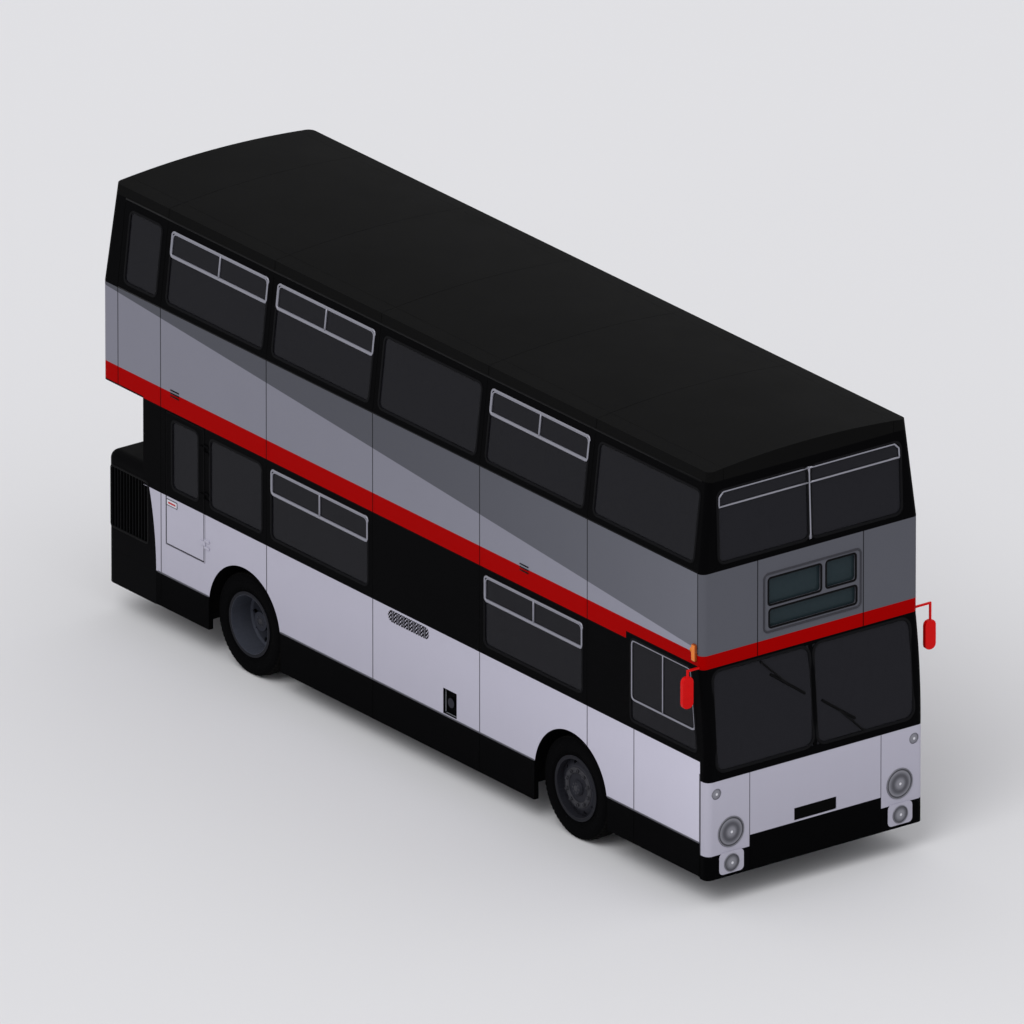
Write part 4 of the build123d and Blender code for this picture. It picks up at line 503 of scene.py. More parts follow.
def wheel_finish():
    """Wheel paint, stained by brake dust and worn round the hub; painted light makes the inside of
    the rear wheels paler, and painted shade darkens the flanges.
    """
    f = Finish("wheel_paint")
    out = f.reach(*f.axle())
    dust = f.noise(16, 6, 0.65)
    worn = out.near(0.205, 0.012, 0.006)
    flange = out.past(0.2865, 0.003)
    inside = (1 - f.x.past(0.0)) * (1 - flange)
    # Painted light: inside the flange of the rear wheels the paint is made paler, the barrel
    # palest, where the wheel lies in its own shade.
    painted_light_inside = f.mix(out.past(0.262, 0.006), linear(47, 49, 57), linear(69, 72, 82))
    colour = f.mix(dust, linear(34, 35, 42), linear(45, 45, 51))
    colour = f.mix(worn * dust, colour, linear(58, 58, 64))
    colour = f.mix(inside, colour, f.shade(painted_light_inside, 0.85 + dust * 0.3))
    # Painted shade: the flange is painted 35 % darker than the rest of the wheel.
    colour = f.shade(colour, 1 - flange * 0.35)
    return f.close(f.shade(colour, 0.8 + f.noise(90, 3) * 0.3), 0.5 + dust * 0.2, dust,
                   metallic=0.2, depth=0.001, Specular_IOR_Level=0.08)


def underbody(name, colour, rust=0.35):
    """Chassis paint with road dirt, and rust where the noise runs high."""
    f = Finish(name)
    dirt = f.noise(7, 7, 0.65)
    speck = f.noise(70, 3, 0.6)
    spots = (dirt * 0.6 + speck * 0.4).past(0.62, 0.10) * rust
    colour = f.mix(spots, f.shade(colour, 0.7 + dirt * 0.6), linear(92, 52, 30))
    return f.close(colour, 0.6 + dirt * 0.25, dirt + speck * 0.3, depth=0.002,
                   Specular_IOR_Level=0.08)


def lamp_finish():
    """Lamp lenses: fluted clear glass in front, red and amber behind, amber at the sides.

    The reflector behind the glass shows as rings: a sine of the distance from the bulb. Its light
    and dark colour rings are painted reflection, and its bright middle is a painted highlight of
    the bulb.
    """
    f = Finish("lamp_lenses")
    amber = linear(222, 120, 24)
    y, side = abs(f.y), abs(f.y).past(1.245)
    rear = 1 - f.x.past(0.0)
    colour = f.mix(f.z.past(0.77), linear(176, 12, 10), amber)
    colour = f.mix(rear * (1 - f.z.past(0.63)), colour, linear(214, 216, 220))
    colour = f.mix(rear, linear(112, 112, 120), colour)
    colour = f.mix(side * f.z.past(2.0), colour, amber)
    high = f.z.past(0.95)
    mid = f.z.between(0.55, 0.95)
    centre_y = 0.974 + high * 0.166
    centre_z = 0.396 + mid * 0.303 + high * 0.711
    across, up = y - centre_y, f.z - centre_z
    out = f.reach(across, up)
    rings = (out * 420).sine()
    flutes = (across * 560).sine()
    ahead = f.x.past(4.6)
    # Painted reflection: light and dark rings of the headlamp reflectors.
    painted_reflection_rings = (out * 60).sine() * 0.5 + 0.5
    mirror = f.mix(painted_reflection_rings, linear(80, 80, 87), linear(134, 134, 142))
    # Painted highlight: the middle 13 mm of each headlamp is painted near white, as the bulb's
    # highlight.
    mirror = f.mix(1 - out.past(0.013, 0.006), mirror, linear(214, 214, 220))
    mirror = f.mix(out.past(0.126, 0.006), mirror, linear(72, 72, 78))
    bright = f.mix(ahead, colour, mirror)
    height = rings * 0.6 + flutes * 0.6
    return f.close(bright, 0.22, height, metallic=ahead * 0.2, depth=0.0010,
                   Coat_Weight=0.10, Coat_Roughness=0.05, Specular_IOR_Level=0.15)


def lino():
    """Speckled floor covering, worn paler along the gangway, and black inside the arches.

    A wheel arch is what lies within its radius of the axle and outboard of its inner wall.
    """
    f = Finish("floor_lino")
    speck = f.noise(260, 2, 0.7)
    wear = 1 - abs(f.y + 0.02).past(0.22, 0.16)
    dirt = f.noise(5, 5, 0.6)
    under = (f.z.past(2.36) * (1 - f.z.past(2.386))) | (1 - f.z.past(0.30))
    rear = 1 - f.x.past(0.0, 0.01)
    out = f.reach(*f.axle())
    arch = (1 - (out + rear * 0.020).past(0.634)) * (abs(f.y) + rear * 0.045).past(0.627)
    colour = f.mix(speck.past(0.56, 0.05), linear(58, 62, 70), linear(92, 96, 104))
    colour = f.shade(colour, 0.75 + dirt * 0.35 + wear * 0.15)
    colour = f.mix(under, colour, linear(112, 113, 118))
    colour = f.mix(arch, colour, linear(9, 9, 10))
    return f.close(colour, 0.55 + dirt * 0.2 - wear * 0.1, speck, depth=0.0004,
                   Specular_IOR_Level=0.05)


def moquette():
    """Seat cloth: a woven diamond figure, in pile that catches the light, on dark backs."""
    colours, _, _ = settings()
    f = Finish("seat_moquette")
    u = (f.x * 38 + f.z * 38).sine() * (f.x * 38 - f.z * 38).sine()
    v = (f.y * 44).sine()
    figure = (u * 0.6 + v * 0.4).past(0.18, 0.10)
    stripe = (f.y * 22).sine().past(0.86, 0.06)
    pile = f.noise(480, 2, 0.6)
    wear = f.noise(6, 4, 0.6)
    colour = f.mix(figure, colours.cloth, linear(96, 30, 40))
    colour = f.mix(stripe, colour, linear(108, 108, 102))
    colour = f.shade(colour, 0.65 + pile * 0.4 + wear * 0.3)
    weave = (f.y * 900).sine() * (f.z * 900).sine()
    return f.close(colour, 0.86, weave * 0.5 + pile, depth=0.0008, Sheen_Weight=0.3,
                   Specular_IOR_Level=0.2)


def moulded(name, colour, roughness=0.5, grain=180):
    """Moulded plastic or laminate with a leathery grain."""
    f = Finish(name)
    hide = f.cells(grain)
    scuff = f.noise(9, 5, 0.6)
    return f.close(f.shade(colour, 0.82 + scuff * 0.3), roughness + scuff * 0.15,
                   hide + scuff * 0.2, depth=0.0004, Specular_IOR_Level=0.12)


def gloss(name, colour, roughness=0.25):
    """Gloss paint with a few scuffs."""
    f = Finish(name)
    scuff = f.noise(26, 5, 0.6)
    return f.close(f.shade(colour, 0.9 + scuff * 0.2), roughness + scuff * 0.15, scuff,
                   depth=0.0003, Specular_IOR_Level=0.08, Coat_Weight=0.03)


def iron(name, colour):
    """Rough cast iron, oily in patches."""
    f = Finish(name)
    cast = f.noise(120, 4, 0.7)
    oil = f.noise(4, 5, 0.6)
    return f.close(f.shade(colour, 0.6 + oil * 0.7), 0.62 - oil * 0.25, cast + oil * 0.3,
                   metallic=0.4, depth=0.0012)


def coat(material, *nodes):
    """Gives CAD nodes a finish."""
    for node in nodes:
        slots = NODES[node].data.materials
        slots.clear()
        slots.append(material)


def rear_wall_finish():
    """The lower rear wall: black paint outside, trim inside."""
    colours, _, _ = settings()
    f = Finish("rear_wall")
    grain = f.noise(30, 4, 0.6)
    colour = f.mix(f.x.past(-4.020, 0.002), colours.black, colours.trim)
    return f.close(f.shade(colour, 0.88 + grain * 0.2), 0.45 + grain * 0.15, grain, depth=0.0005,
                   Specular_IOR_Level=0.22)


def body_of(node):
    """Name of the body that a CAD node rides on."""
    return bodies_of(NODES[node])[0]


# ---- surfaces -------------------------------------------------------------------------


def grid_faces(rows, columns, wrap_rows=False, wrap_columns=False):
    """Four-sided faces over a grid of points, closed round either way where asked."""
    i = np.arange(rows if wrap_rows else rows - 1)[:, None]
    j = np.arange(columns if wrap_columns else columns - 1)[None, :]
    near, far = i * columns, ((i + 1) % rows) * columns
    left, right = j, (j + 1) % columns
    return np.stack((near + left, near + right, far + right, far + left), -1).reshape(-1, 4)


def piece(name, points, faces, material, body="body", smooth=False, slot=None):
    """A finished piece: points (n by 3) and faces put into a mesh that rides on a body."""
    mesh = bpy.data.meshes.new(name)
    points = np.asarray(points, float).reshape(-1, 3)
    mesh.from_pydata(points.tolist(), [], [list(map(int, face)) for face in faces])
    mesh.materials.append(material)
    mesh.validate()
    made = bpy.data.objects.new(name, mesh)
    bpy.context.scene.collection.objects.link(made)
    mesh.polygons.foreach_set("use_smooth", np.full(len(mesh.polygons), smooth))
    mesh.update()
    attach(made, body)
    return made


def join(parts):
    """Many (points, faces) pairs as one, with each one's faces counted on from the last."""
    points, faces, count = [], [], 0
    for some_points, some_faces in parts:
        some_points = np.asarray(some_points, float).reshape(-1, 3)
        faces += [[int(i) + count for i in face] for face in some_faces]
        points.append(some_points)
        count += len(some_points)
    return np.concatenate(points), faces


def sweep(path, outward, profile, closed=True):
    """A profile carried along a path.

    At each point the profile's first measure runs along the cross product of the path's
    direction and the outward direction, and its second along the outward direction.
    An open path gets a flat face at each end.
    """
    path = np.asarray(path, float)
    outward = np.broadcast_to(np.asarray(outward, float), path.shape)
    if closed:
        along = np.roll(path, -1, 0) - np.roll(path, 1, 0)
    else:
        along = np.gradient(path, axis=0)
    along /= np.linalg.norm(along, axis=1)[:, None]
    across = np.cross(along, outward)
    across /= np.linalg.norm(across, axis=1)[:, None]
    profile = np.asarray(profile, float)
    points = (path[:, None] + across[:, None] * profile[None, :, :1]
              + outward[:, None] * profile[None, :, 1:])
    count = len(profile)
    faces = grid_faces(len(path), count, closed, True)[:, ::-1].tolist()
    if not closed:
        faces.append(list(range(count)))
        faces.append([(len(path) - 1) * count + i for i in range(count)][::-1])
    return points.reshape(-1, 3), faces


def rounded_loop(width, height, radius, steps=7):
    """Outline of a rectangle with round corners, about its middle, anticlockwise.

    Each corner is a quarter circle of the radius about a point set in from both edges.
    """
    radius = min(radius, width / 2 - 1e-4, height / 2 - 1e-4)
    turn = np.linspace(0, np.pi / 2, steps)
    angles = np.concatenate([turn + quarter * np.pi / 2 for quarter in range(4)])
    signs = np.repeat(np.array([[1, 1], [-1, 1], [-1, -1], [1, -1]]), steps, 0)
    middle = signs * (width / 2 - radius, height / 2 - radius)
    return middle + radius * np.stack((np.cos(angles), np.sin(angles)), 1)


def bead(width, height):
    """Profile of a low round-backed bead: half an ellipse over a flat foot."""
    turn = np.linspace(0, np.pi, 7)
    dome = np.stack((np.cos(turn) * width / 2, np.sin(turn) * height), 1)
    foot = np.array([[-width / 2, -0.004], [width / 2, -0.004]])
    return np.concatenate((dome, foot))


def spun(profile, centre, axis=(0, 1, 0), steps=48):
    """A profile of (along, out) turned round an axis: out times cosine and sine.

    The two directions square to the axis are found by cross products.
    """
    axis = np.asarray(axis, float)
    first = np.cross(axis, (0.0, 0.0, 1.0) if abs(axis[2]) < 0.9 else (1.0, 0.0, 0.0))
    first /= np.linalg.norm(first)
    second = np.cross(axis, first)
    turn = np.linspace(0, 2 * np.pi, steps, endpoint=False)
    ring = np.cos(turn)[:, None] * first + np.sin(turn)[:, None] * second
    profile = np.asarray(profile, float)
    points = (np.asarray(centre, float) + profile[None, :, :1] * axis
              + profile[None, :, 1:] * ring[:, None])
    return points.reshape(-1, 3), grid_faces(steps, len(profile), True, False).tolist()


def on_side(along, up, side, proud=0.0):
    """Points on a side wall: upright to the waist, then leaning in with height."""
    along, up = np.asarray(along, float), np.asarray(up, float)
    out = HALF - np.maximum(up - WAIST, 0) * LEAN + proud
    return np.stack((along, side * out, up), -1)


def on_front(across, up, proud=0.0):
    """Points on the front: upright, curved back behind the windscreen, then raked.

    The curve is an arc of a circle whose depth and height are known.
    """
    across, up = np.asarray(across, float), np.asarray(up, float)
    bend = (SCREEN_RISE**2 + SCREEN_BACK**2) / (2 * SCREEN_BACK)
    rise = np.clip(up - SCREEN_FOOT, 0, SCREEN_RISE)
    low = LOWER_FRONT - (bend - np.sqrt(bend**2 - rise**2))
    high = UPPER_FRONT - np.maximum(up - WAIST, 0) * FRONT_RAKE
    return np.stack((np.where(up < 2.325, low, high) + proud, across, up), -1)

def on_rear(across, up, proud=0.0):
    """Points on the upper rear: upright to the waist, then raked forwards with height."""
    across, up = np.asarray(across, float), np.asarray(up, float)
    return np.stack((REAR + np.maximum(up - WAIST, 0) * REAR_RAKE - proud, across, up), -1)


def flat_end(x):
    """Gives places on an upright plane across the bus."""
    def place(across, up, proud=0.0):
        across, up = np.asarray(across, float), np.asarray(up, float)
        return np.stack((np.full(across.shape, x + np.sign(x) * proud), across, up), -1)
    return place


def flat_side(y):
    """Gives places on an upright plane along the bus."""
    def place(along, up, proud=0.0):
        along, up = np.asarray(along, float), np.asarray(up, float)
        return np.stack((along, np.full(along.shape, y + np.sign(y) * proud), up), -1)
    return place


def skin(side):
    """Gives places on one side wall."""
    return lambda along, up, proud=0.0: on_side(along, up, side, proud)


def window_loop(x0, z0, x1, z1, radius=0.06):
    """Outline of a window between two corners."""
    return rounded_loop(x1 - x0, z1 - z0, radius) + ((x0 + x1) / 2, (z0 + z1) / 2)


def eased_outline(corners, radius, steps=6):
    """An outline whose corners are rounded by quadratic curves.

    Each runs from a point before the corner to one after it: (1-t) squared times the
    first, 2t(1-t) times the corner and t squared times the last.
    """
    corners = np.asarray(corners, float)
    before, after = np.roll(corners, 1, 0), np.roll(corners, -1, 0)
    start = corners + radius * (before - corners) / np.linalg.norm(before - corners, axis=1)[:,
                                                                                             None]
    end = corners + radius * (after - corners) / np.linalg.norm(after - corners, axis=1)[:, None]
    t = np.linspace(0, 1, steps)[None, :, None]
    curve = (1 - t) ** 2 * start[:, None] + 2 * t * (1 - t) * corners[:, None] + t**2 * end[:, None]
    return curve.reshape(-1, 2)


def outward_at(place, u, v):
    """Outward direction of the skin: the cross product of its two tangents by small steps."""
    step = 1e-3
    across = place(u + step, v) - place(u - step, v)
    normal = np.cross(across, place(u, v + step) - place(u, v - step))
    normal /= np.linalg.norm(normal, axis=1)[:, None]
    return normal * np.sign((normal * (place(u, v) - (0.0, 0.0, 2.2))).sum(1))[:, None]


def framed(loop, place, width, height, closed=True):
    """A bead along a line of (u, v) points laid on the skin."""
    u, v = loop[:, 0], loop[:, 1]
    return sweep(place(u, v), outward_at(place, u, v), bead(width, height), closed)


def line(start, end, steps=12):
    """Points from one (u, v) place to another."""
    return np.linspace(start, end, steps)


def slab(loop, place, outer, inner):
    """A sheet with the outline of a loop, between two depths on the skin."""
    count = len(loop)
    points = np.concatenate((place(loop[:, 0], loop[:, 1], outer),
                             place(loop[:, 0], loop[:, 1], inner)))
    faces = [[i, (i + 1) % count, count + (i + 1) % count, count + i] for i in range(count)]
    return points, [*faces, list(range(count)), list(range(2 * count - 1, count - 1, -1))]


def tube(points, radius, bend=0.05, steps=10):
    """A round bar along straight runs whose corners are rounded by quadratic curves."""
    points = np.asarray(points, float)
    path = [points[0]]
    for before, corner, after in zip(points[:-2], points[1:-1], points[2:]):
        start = corner + bend * (before - corner) / np.linalg.norm(before - corner)
        end = corner + bend * (after - corner) / np.linalg.norm(after - corner)
        for t in np.linspace(0, 1, 7):
            path.append((1 - t) ** 2 * start + 2 * t * (1 - t) * corner + t**2 * end)
    path = np.array([*path, points[-1]])
    along = np.gradient(path, axis=0)
    along /= np.linalg.norm(along, axis=1)[:, None]
    aside = np.cross(along, (0.31, 0.52, 0.80))
    aside /= np.linalg.norm(aside, axis=1)[:, None]
    third = np.cross(along, aside)
    turn = np.linspace(0, 2 * np.pi, steps, endpoint=False)
    ring = np.cos(turn)[None, :, None] * aside[:, None] + np.sin(turn)[None, :, None] * third[:,
                                                                                              None]
    made = (path[:, None] + radius * ring).reshape(-1, 3)
    faces = grid_faces(len(path), steps, False, True).tolist()
    faces.append(list(range(steps))[::-1])
    faces.append([(len(path) - 1) * steps + i for i in range(steps)])
    return made, faces


def nut(radius, height):
    """Profile of a six-sided nut on its washer, with the stud's end standing out of it."""
    return [(0.0, 0.0), (0.0, radius * 1.25), (0.003, radius * 1.25), (0.003, radius),
            (height * 0.62, radius), (height * 0.72, radius * 0.8), (height * 0.72, radius * 0.55),
            (height, radius * 0.5), (height, 0.0)]


def pad(low, high, crown=0.18, steps=14):
    """A crowned cushion between two corners.

    Its section is a superellipse: each measure is the cosine or sine of an angle, raised to
    a power below 1 so that the form fills its corners but stays rounded.
    """
    low, high = np.asarray(low, float), np.asarray(high, float)
    power = 0.30
    u = np.linspace(-np.pi / 2, np.pi / 2, steps)[:, None]
    v = np.linspace(-np.pi, np.pi, 2 * steps, endpoint=False)[None, :]

    def swell(value):
        return np.sign(value) * np.abs(value) ** power

    x = swell(np.cos(u)) * swell(np.cos(v))
    y = swell(np.cos(u)) * swell(np.sin(v))
    z = swell(np.sin(u)) * (1 - crown * (x**2 + y**2) / 2) + 0 * v
    points = np.stack((x, y, z), -1)
    return ((low + high) / 2 + points * (high - low) / 2).reshape(-1, 3), grid_faces(
        steps, 2 * steps, False, True).tolist()


def leaned(part, foot, tilt):
    """A shape leaned back: x moves by the tilt for each metre above the foot."""
    points, faces = part
    points = points.copy()
    points[:, 0] += (points[:, 2] - foot) * tilt
    return points, faces


# ---- window outlines shared by the seals, bars and panes --------------------------------
UPPER_WINDOWS = [(-4.345, UPPER_SILL, -3.845, UPPER_HEAD)] + [
    (x + 0.075, UPPER_SILL, (BAYS[i + 1] if i < 4 else FRONT_SEAM) - 0.075, UPPER_HEAD)
    for i, x in enumerate(BAYS)
]
NEARSIDE_WINDOWS = [
    (BAYS[i] + 0.075, LOWER_SILL, BAYS[i + 1] - 0.075, LOWER_HEAD) for i in range(4)
]
OFFSIDE_WINDOWS = [(-2.994, LOWER_SILL, -2.181, LOWER_HEAD), NEARSIDE_WINDOWS[1],
                   NEARSIDE_WINDOWS[3]]
EXIT_WINDOW = (-3.590, LOWER_SILL, -3.174, LOWER_HEAD)
CAB_WINDOW = [(3.509, 1.495), (4.523, 1.495), (4.434, 2.305), (3.509, 2.305)]
CAB_VENT = [(3.522, 1.706), (4.488, 1.706), (4.424, 2.292), (3.522, 2.292)]
SCREEN = (0.020, 1.315, 1.140, 2.290)
UPPER_SCREEN = (0.015, 3.335, 1.055, 4.040)
BLINDS = [(-0.487, 2.790, 0.125, 3.060), (0.178, 2.800, 0.524, 3.070),
          (-0.478, 2.566, 0.533, 2.750)]
LEAVES = [node for node in NODES if node.startswith("entrance_")]


def leaf_windows(node):
    """The two panes of an entrance leaf, from the leaf's own box."""
    low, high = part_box(node)
    x0, x1, foot = low.x + 0.052, high.x - 0.052, low.z
    return [(x0, foot + 0.71, x1, foot + 1.79), (x0, foot + 0.07, x1, foot + 0.63)]


class Builder:
    """What every operator of this add-on shares."""

    bl_options = {"REGISTER", "UNDO"}

    def execute(self, context):
        self.build(*settings())
        return {"FINISHED"}


class BUS_OT_finishes(Builder, bpy.types.Operator):
    """Livery, trim, rubber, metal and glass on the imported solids."""

    bl_idname = "bus.finishes"
    bl_label = "Finishes"

    def build(self, colours, sizes, studio):
        coat(livery("side_livery", side_outside), "offside_lower_side", "nearside_lower_side",
             "offside_upper_side", "nearside_upper_side", "emergency_door")
        coat(livery("front_livery", lambda f: side_outside(f) | front_outside(f)),
             "lower_front_panel", "upper_front_panel")
        coat(livery("rear_livery", lambda f: side_outside(f) | rear_outside(f)),
             "upper_rear_panel", "rear_exit_door")
        coat(bustle_finish(), "engine_bustle", "engine_cover")
        coat(rear_wall_finish(), "lower_rear_panel")
        coat(roof_finish(), "roof")
        coat(tinted_glass("saloon_glazing", linear(27, 27, 31), 0.90), "saloon_glass", "windscreen")
        coat(tinted_glass("blind_glazing", linear(33, 43, 47), 0.94), "destination_glass")
        coat(brushed("vent_metal", colours.bright, grain=(0.02, 1, 1)), "window_vents")
        coat(lamp_finish(), "lamps")
        coat(gloss("mirror_shell", colours.mirror), "mirrors")
        coat(gloss("wiper_black", linear(3, 3, 4), 0.6), "wipers")
        coat(tyre_finish(), *(node for node in NODES if node.endswith(("tyre", "tyres"))))
        coat(wheel_finish(),
             *(node for node in NODES if node.endswith(("front_wheel", "rear_wheels"))))
        coat(underbody("chassis_paint", linear(38, 38, 42)), "chassis_frame", "front_axle",
             "rear_axle", "offside_knuckle", "nearside_knuckle")
        coat(iron("engine_iron", linear(74, 78, 82)), "engine_block")
        coat(lino(), "lower_floor", "wheel_boxes", "upper_floor", "staircase")
        coat(moulded("dash_plastic", linear(40, 40, 44)), "dashboard")
        coat(moulded("wheel_rim_plastic", linear(22, 22, 24), 0.4), "steering_wheel")
        coat(moulded("partition_laminate", colours.trim, 0.42), "cab_partition")
        coat(gloss("leaf_paint", linear(60, 60, 66)), *LEAVES)
        coat(moquette(), "seats")


class BUS_OT_seals(Builder, bpy.types.Operator):
    """Rubber seals round every window and door edge."""

    bl_idname = "bus.seals"
    bl_label = "Window seals"

    def build(self, colours, sizes, studio):
        black = rubber("seal_rubber", linear(15, 15, 17))
        width, proud = sizes.seal_width, sizes.seal_proud
        for side, name, lower in ((-1, "offside", OFFSIDE_WINDOWS),
                                  (1, "nearside", NEARSIDE_WINDOWS)):
            loops = [window_loop(*corners) for corners in (*UPPER_WINDOWS, *lower)]
            if side < 0:
                loops.append(eased_outline(CAB_WINDOW, 0.06))
            parts = [framed(loop, skin(side), width, proud) for loop in loops]
            piece(name + "_window_seals", *join(parts), black, smooth=True, slot="black_plastic")
        parts = []
        for side in (-1, 1):
            for y0, z0, y1, z1, radius in ((*SCREEN, 0.10), (*UPPER_SCREEN, 0.07)):
                corners = sorted((side * y0, side * y1))
                loop = window_loop(corners[0], z0, corners[1], z1, radius)
                parts.append(framed(loop, on_front, width * 1.1, proud))
        piece("windscreen_seals", *join(parts), black, smooth=True, slot="black_plastic")
        parts = []
        for middle in (-0.860, 0.860):
            loop = window_loop(middle - 0.17, 3.34, middle + 0.17, 4.0)
            parts.append(framed(loop, on_rear, width, 0.002))
        loop = window_loop(-0.90, 1.72, 0.90, 2.18)
        parts.append(framed(loop, flat_end(-4.041), width, proud))
        piece("rear_window_seals", *join(parts), black, smooth=True, slot="black_plastic")
        loop = window_loop(*EXIT_WINDOW)
        piece("emergency_door_seal", *framed(loop, skin(-1), width, proud), black,
              "emergency_door", True, "black_plastic")
        loop = window_loop(-0.51, 3.39, 0.51, 3.95)
        piece("rear_exit_seal", *framed(loop, on_rear, width, 0.002), black, "rear_exit_door",
              True, "black_plastic")
        for node in LEAVES:
            parts = []
            for corners in leaf_windows(node):
                loop = window_loop(*corners, 0.04)
                parts.append(framed(loop, flat_side(1.218), 0.020, 0.004))
            piece(node + "_seals", *join(parts), black, node, True, "black_plastic")


class BUS_OT_panes(Builder, bpy.types.Operator):
    """Glass of the doors, which rides with them."""

    bl_idname = "bus.panes"
    bl_label = "Door panes"

    def build(self, colours, sizes, studio):
        glass = tinted_glass("door_glazing", linear(27, 27, 31), 0.90)
        pane = slab(window_loop(*EXIT_WINDOW), skin(-1), -0.009, -0.014)
        piece("emergency_door_pane", *pane, glass, "emergency_door", slot="glass")
        pane = slab(window_loop(-0.51, 3.39, 0.51, 3.95), on_rear, -0.009, -0.014)
        piece("rear_exit_pane", *pane, glass, "rear_exit_door", slot="glass")
        for node in LEAVES:
            panes = [slab(window_loop(*corners, 0.04), flat_side(1.203), 0.003, -0.003)
                     for corners in leaf_windows(node)]
            piece(node + "_panes", *join(panes), glass, node, slot="glass")


class BUS_OT_bars(Builder, bpy.types.Operator):
    """Light-metal bars of the hopper windows, the upper front and the cab's sliding window."""

    bl_idname = "bus.bars"
    bl_label = "Window bars"

    def build(self, colours, sizes, studio):
        metal = brushed("bar_metal", colours.bright, grain=(1, 0.02, 1))
        wide = sizes.bar_width
        parts = []
        for side in (-1, 1):
            corners = [(0.0, 3.885), (side * 1.040, 3.885), (side * 1.036, 3.975),
                       (side * 0.985, 4.026), (0.0, 4.026)]
            runs = [line(*ends, 8) for ends in zip(corners, corners[1:])]
            path = np.concatenate([runs[0]] + [run[1:] for run in runs[1:]])
            parts.append(framed(path, on_front, wide * 0.9, 0.007, False))
        parts.append(framed(line((0, 3.335), (0, 4.040)), on_front, 0.030, 0.006, False))
        piece("upper_front_bars", *join(parts), metal, smooth=True, slot="bright_metal")
        parts = [framed(eased_outline(CAB_VENT, 0.05), skin(-1), wide, 0.004)]
        parts.append(framed(line((3.996, 1.706), (3.996, 2.292)), skin(-1), wide * 0.8, 0.004,
                            False))
        piece("cab_window_bars", *join(parts), metal, smooth=True, slot="bright_metal")
        vents = [(UPPER_WINDOWS[i], 0.238) for i in (1, 2, 4)] + [(NEARSIDE_WINDOWS[i],
                                                                   0.243) for i in (1, 3)]
        for side, name in ((-1, "offside"), (1, "nearside")):
            parts = []
            for (x0, _, x1, head), deep in vents:
                loop = window_loop(x0 + 0.004, head - deep, x1 - 0.004, head - 0.002, 0.035)
                parts.append(framed(loop, skin(side), wide * 1.3, 0.008))
                middle = (x0 + x1) / 2
                run = line((middle, head - deep), (middle, head - 0.002), 4)
                parts.append(framed(run, skin(side), wide * 0.7, 0.006, False))
            piece(name + "_vent_bars", *join(parts), metal, smooth=True, slot="bright_metal")


class BUS_OT_strips(Builder, bpy.types.Operator):
    """Rub strips, gutter and the small louvres over the red band."""

    bl_idname = "bus.strips"
    bl_label = "Strips and louvres"

    def build(self, colours, sizes, studio):
        metal = brushed("strip_metal", linear(84, 84, 92), 0.5, 0.4, (0.02, 1, 1))
        black = gloss("gutter_paint", colours.black, 0.35)
        for side, name in ((-1, "offside"), (1, "nearside")):
            parts = []
            ends = [-3.815, REAR_AXLE - 0.56, REAR_AXLE + 0.56, FRONT_AXLE - 0.56,
                    FRONT_AXLE + 0.56,
                    4.56 if side < 0 else 3.27]
            for start, end in zip(ends[::2], ends[1::2]):
                parts.append(framed(line((start, 0.615), (end, 0.615)), skin(side), 0.016, 0.005,
                                    False))
            piece(name + "_rub_strips", *join(parts), metal, smooth=True, slot="bright_metal")
            parts = []
            for middle in (-3.54, 1.88):
                for row in range(3):
                    z = 2.440 + row * 0.030
                    run = line((middle - 0.065, z), (middle + 0.065, z), 4)
                    parts.append(framed(run, skin(side), 0.013, 0.008, False))
            parts.append(framed(line((-4.43, WAIST), (4.52, WAIST)), skin(side), 0.012, 0.003,
                                False))
            parts.append(framed(line((-4.43, 4.132), (4.46, 4.132)), skin(side), 0.018, 0.004,
                                False))
            piece(name + "_louvres_and_gutter", *join(parts), black, smooth=True, slot="body_black")


class BUS_OT_destination(Builder, bpy.types.Operator):
    """Raised frame of the destination box and the beads of its three panes."""

    bl_idname = "bus.destination"
    bl_label = "Destination box"

    def build(self, colours, sizes, studio):
        shell = gloss("box_frame_paint", linear(58, 58, 64), 0.38)
        black = rubber("blind_rubber", linear(12, 12, 14))
        parts = [framed(window_loop(-0.536, 2.530, 0.578, 3.104, 0.05), on_front, 0.022, 0.010)]
        piece("destination_frame", *join(parts), shell, smooth=True, slot="body_grey")
        parts = [framed(window_loop(*corners, 0.03), on_front, 0.020, 0.006) for corners in BLINDS]
        piece("blind_seals", *join(parts), black, smooth=True, slot="black_plastic")


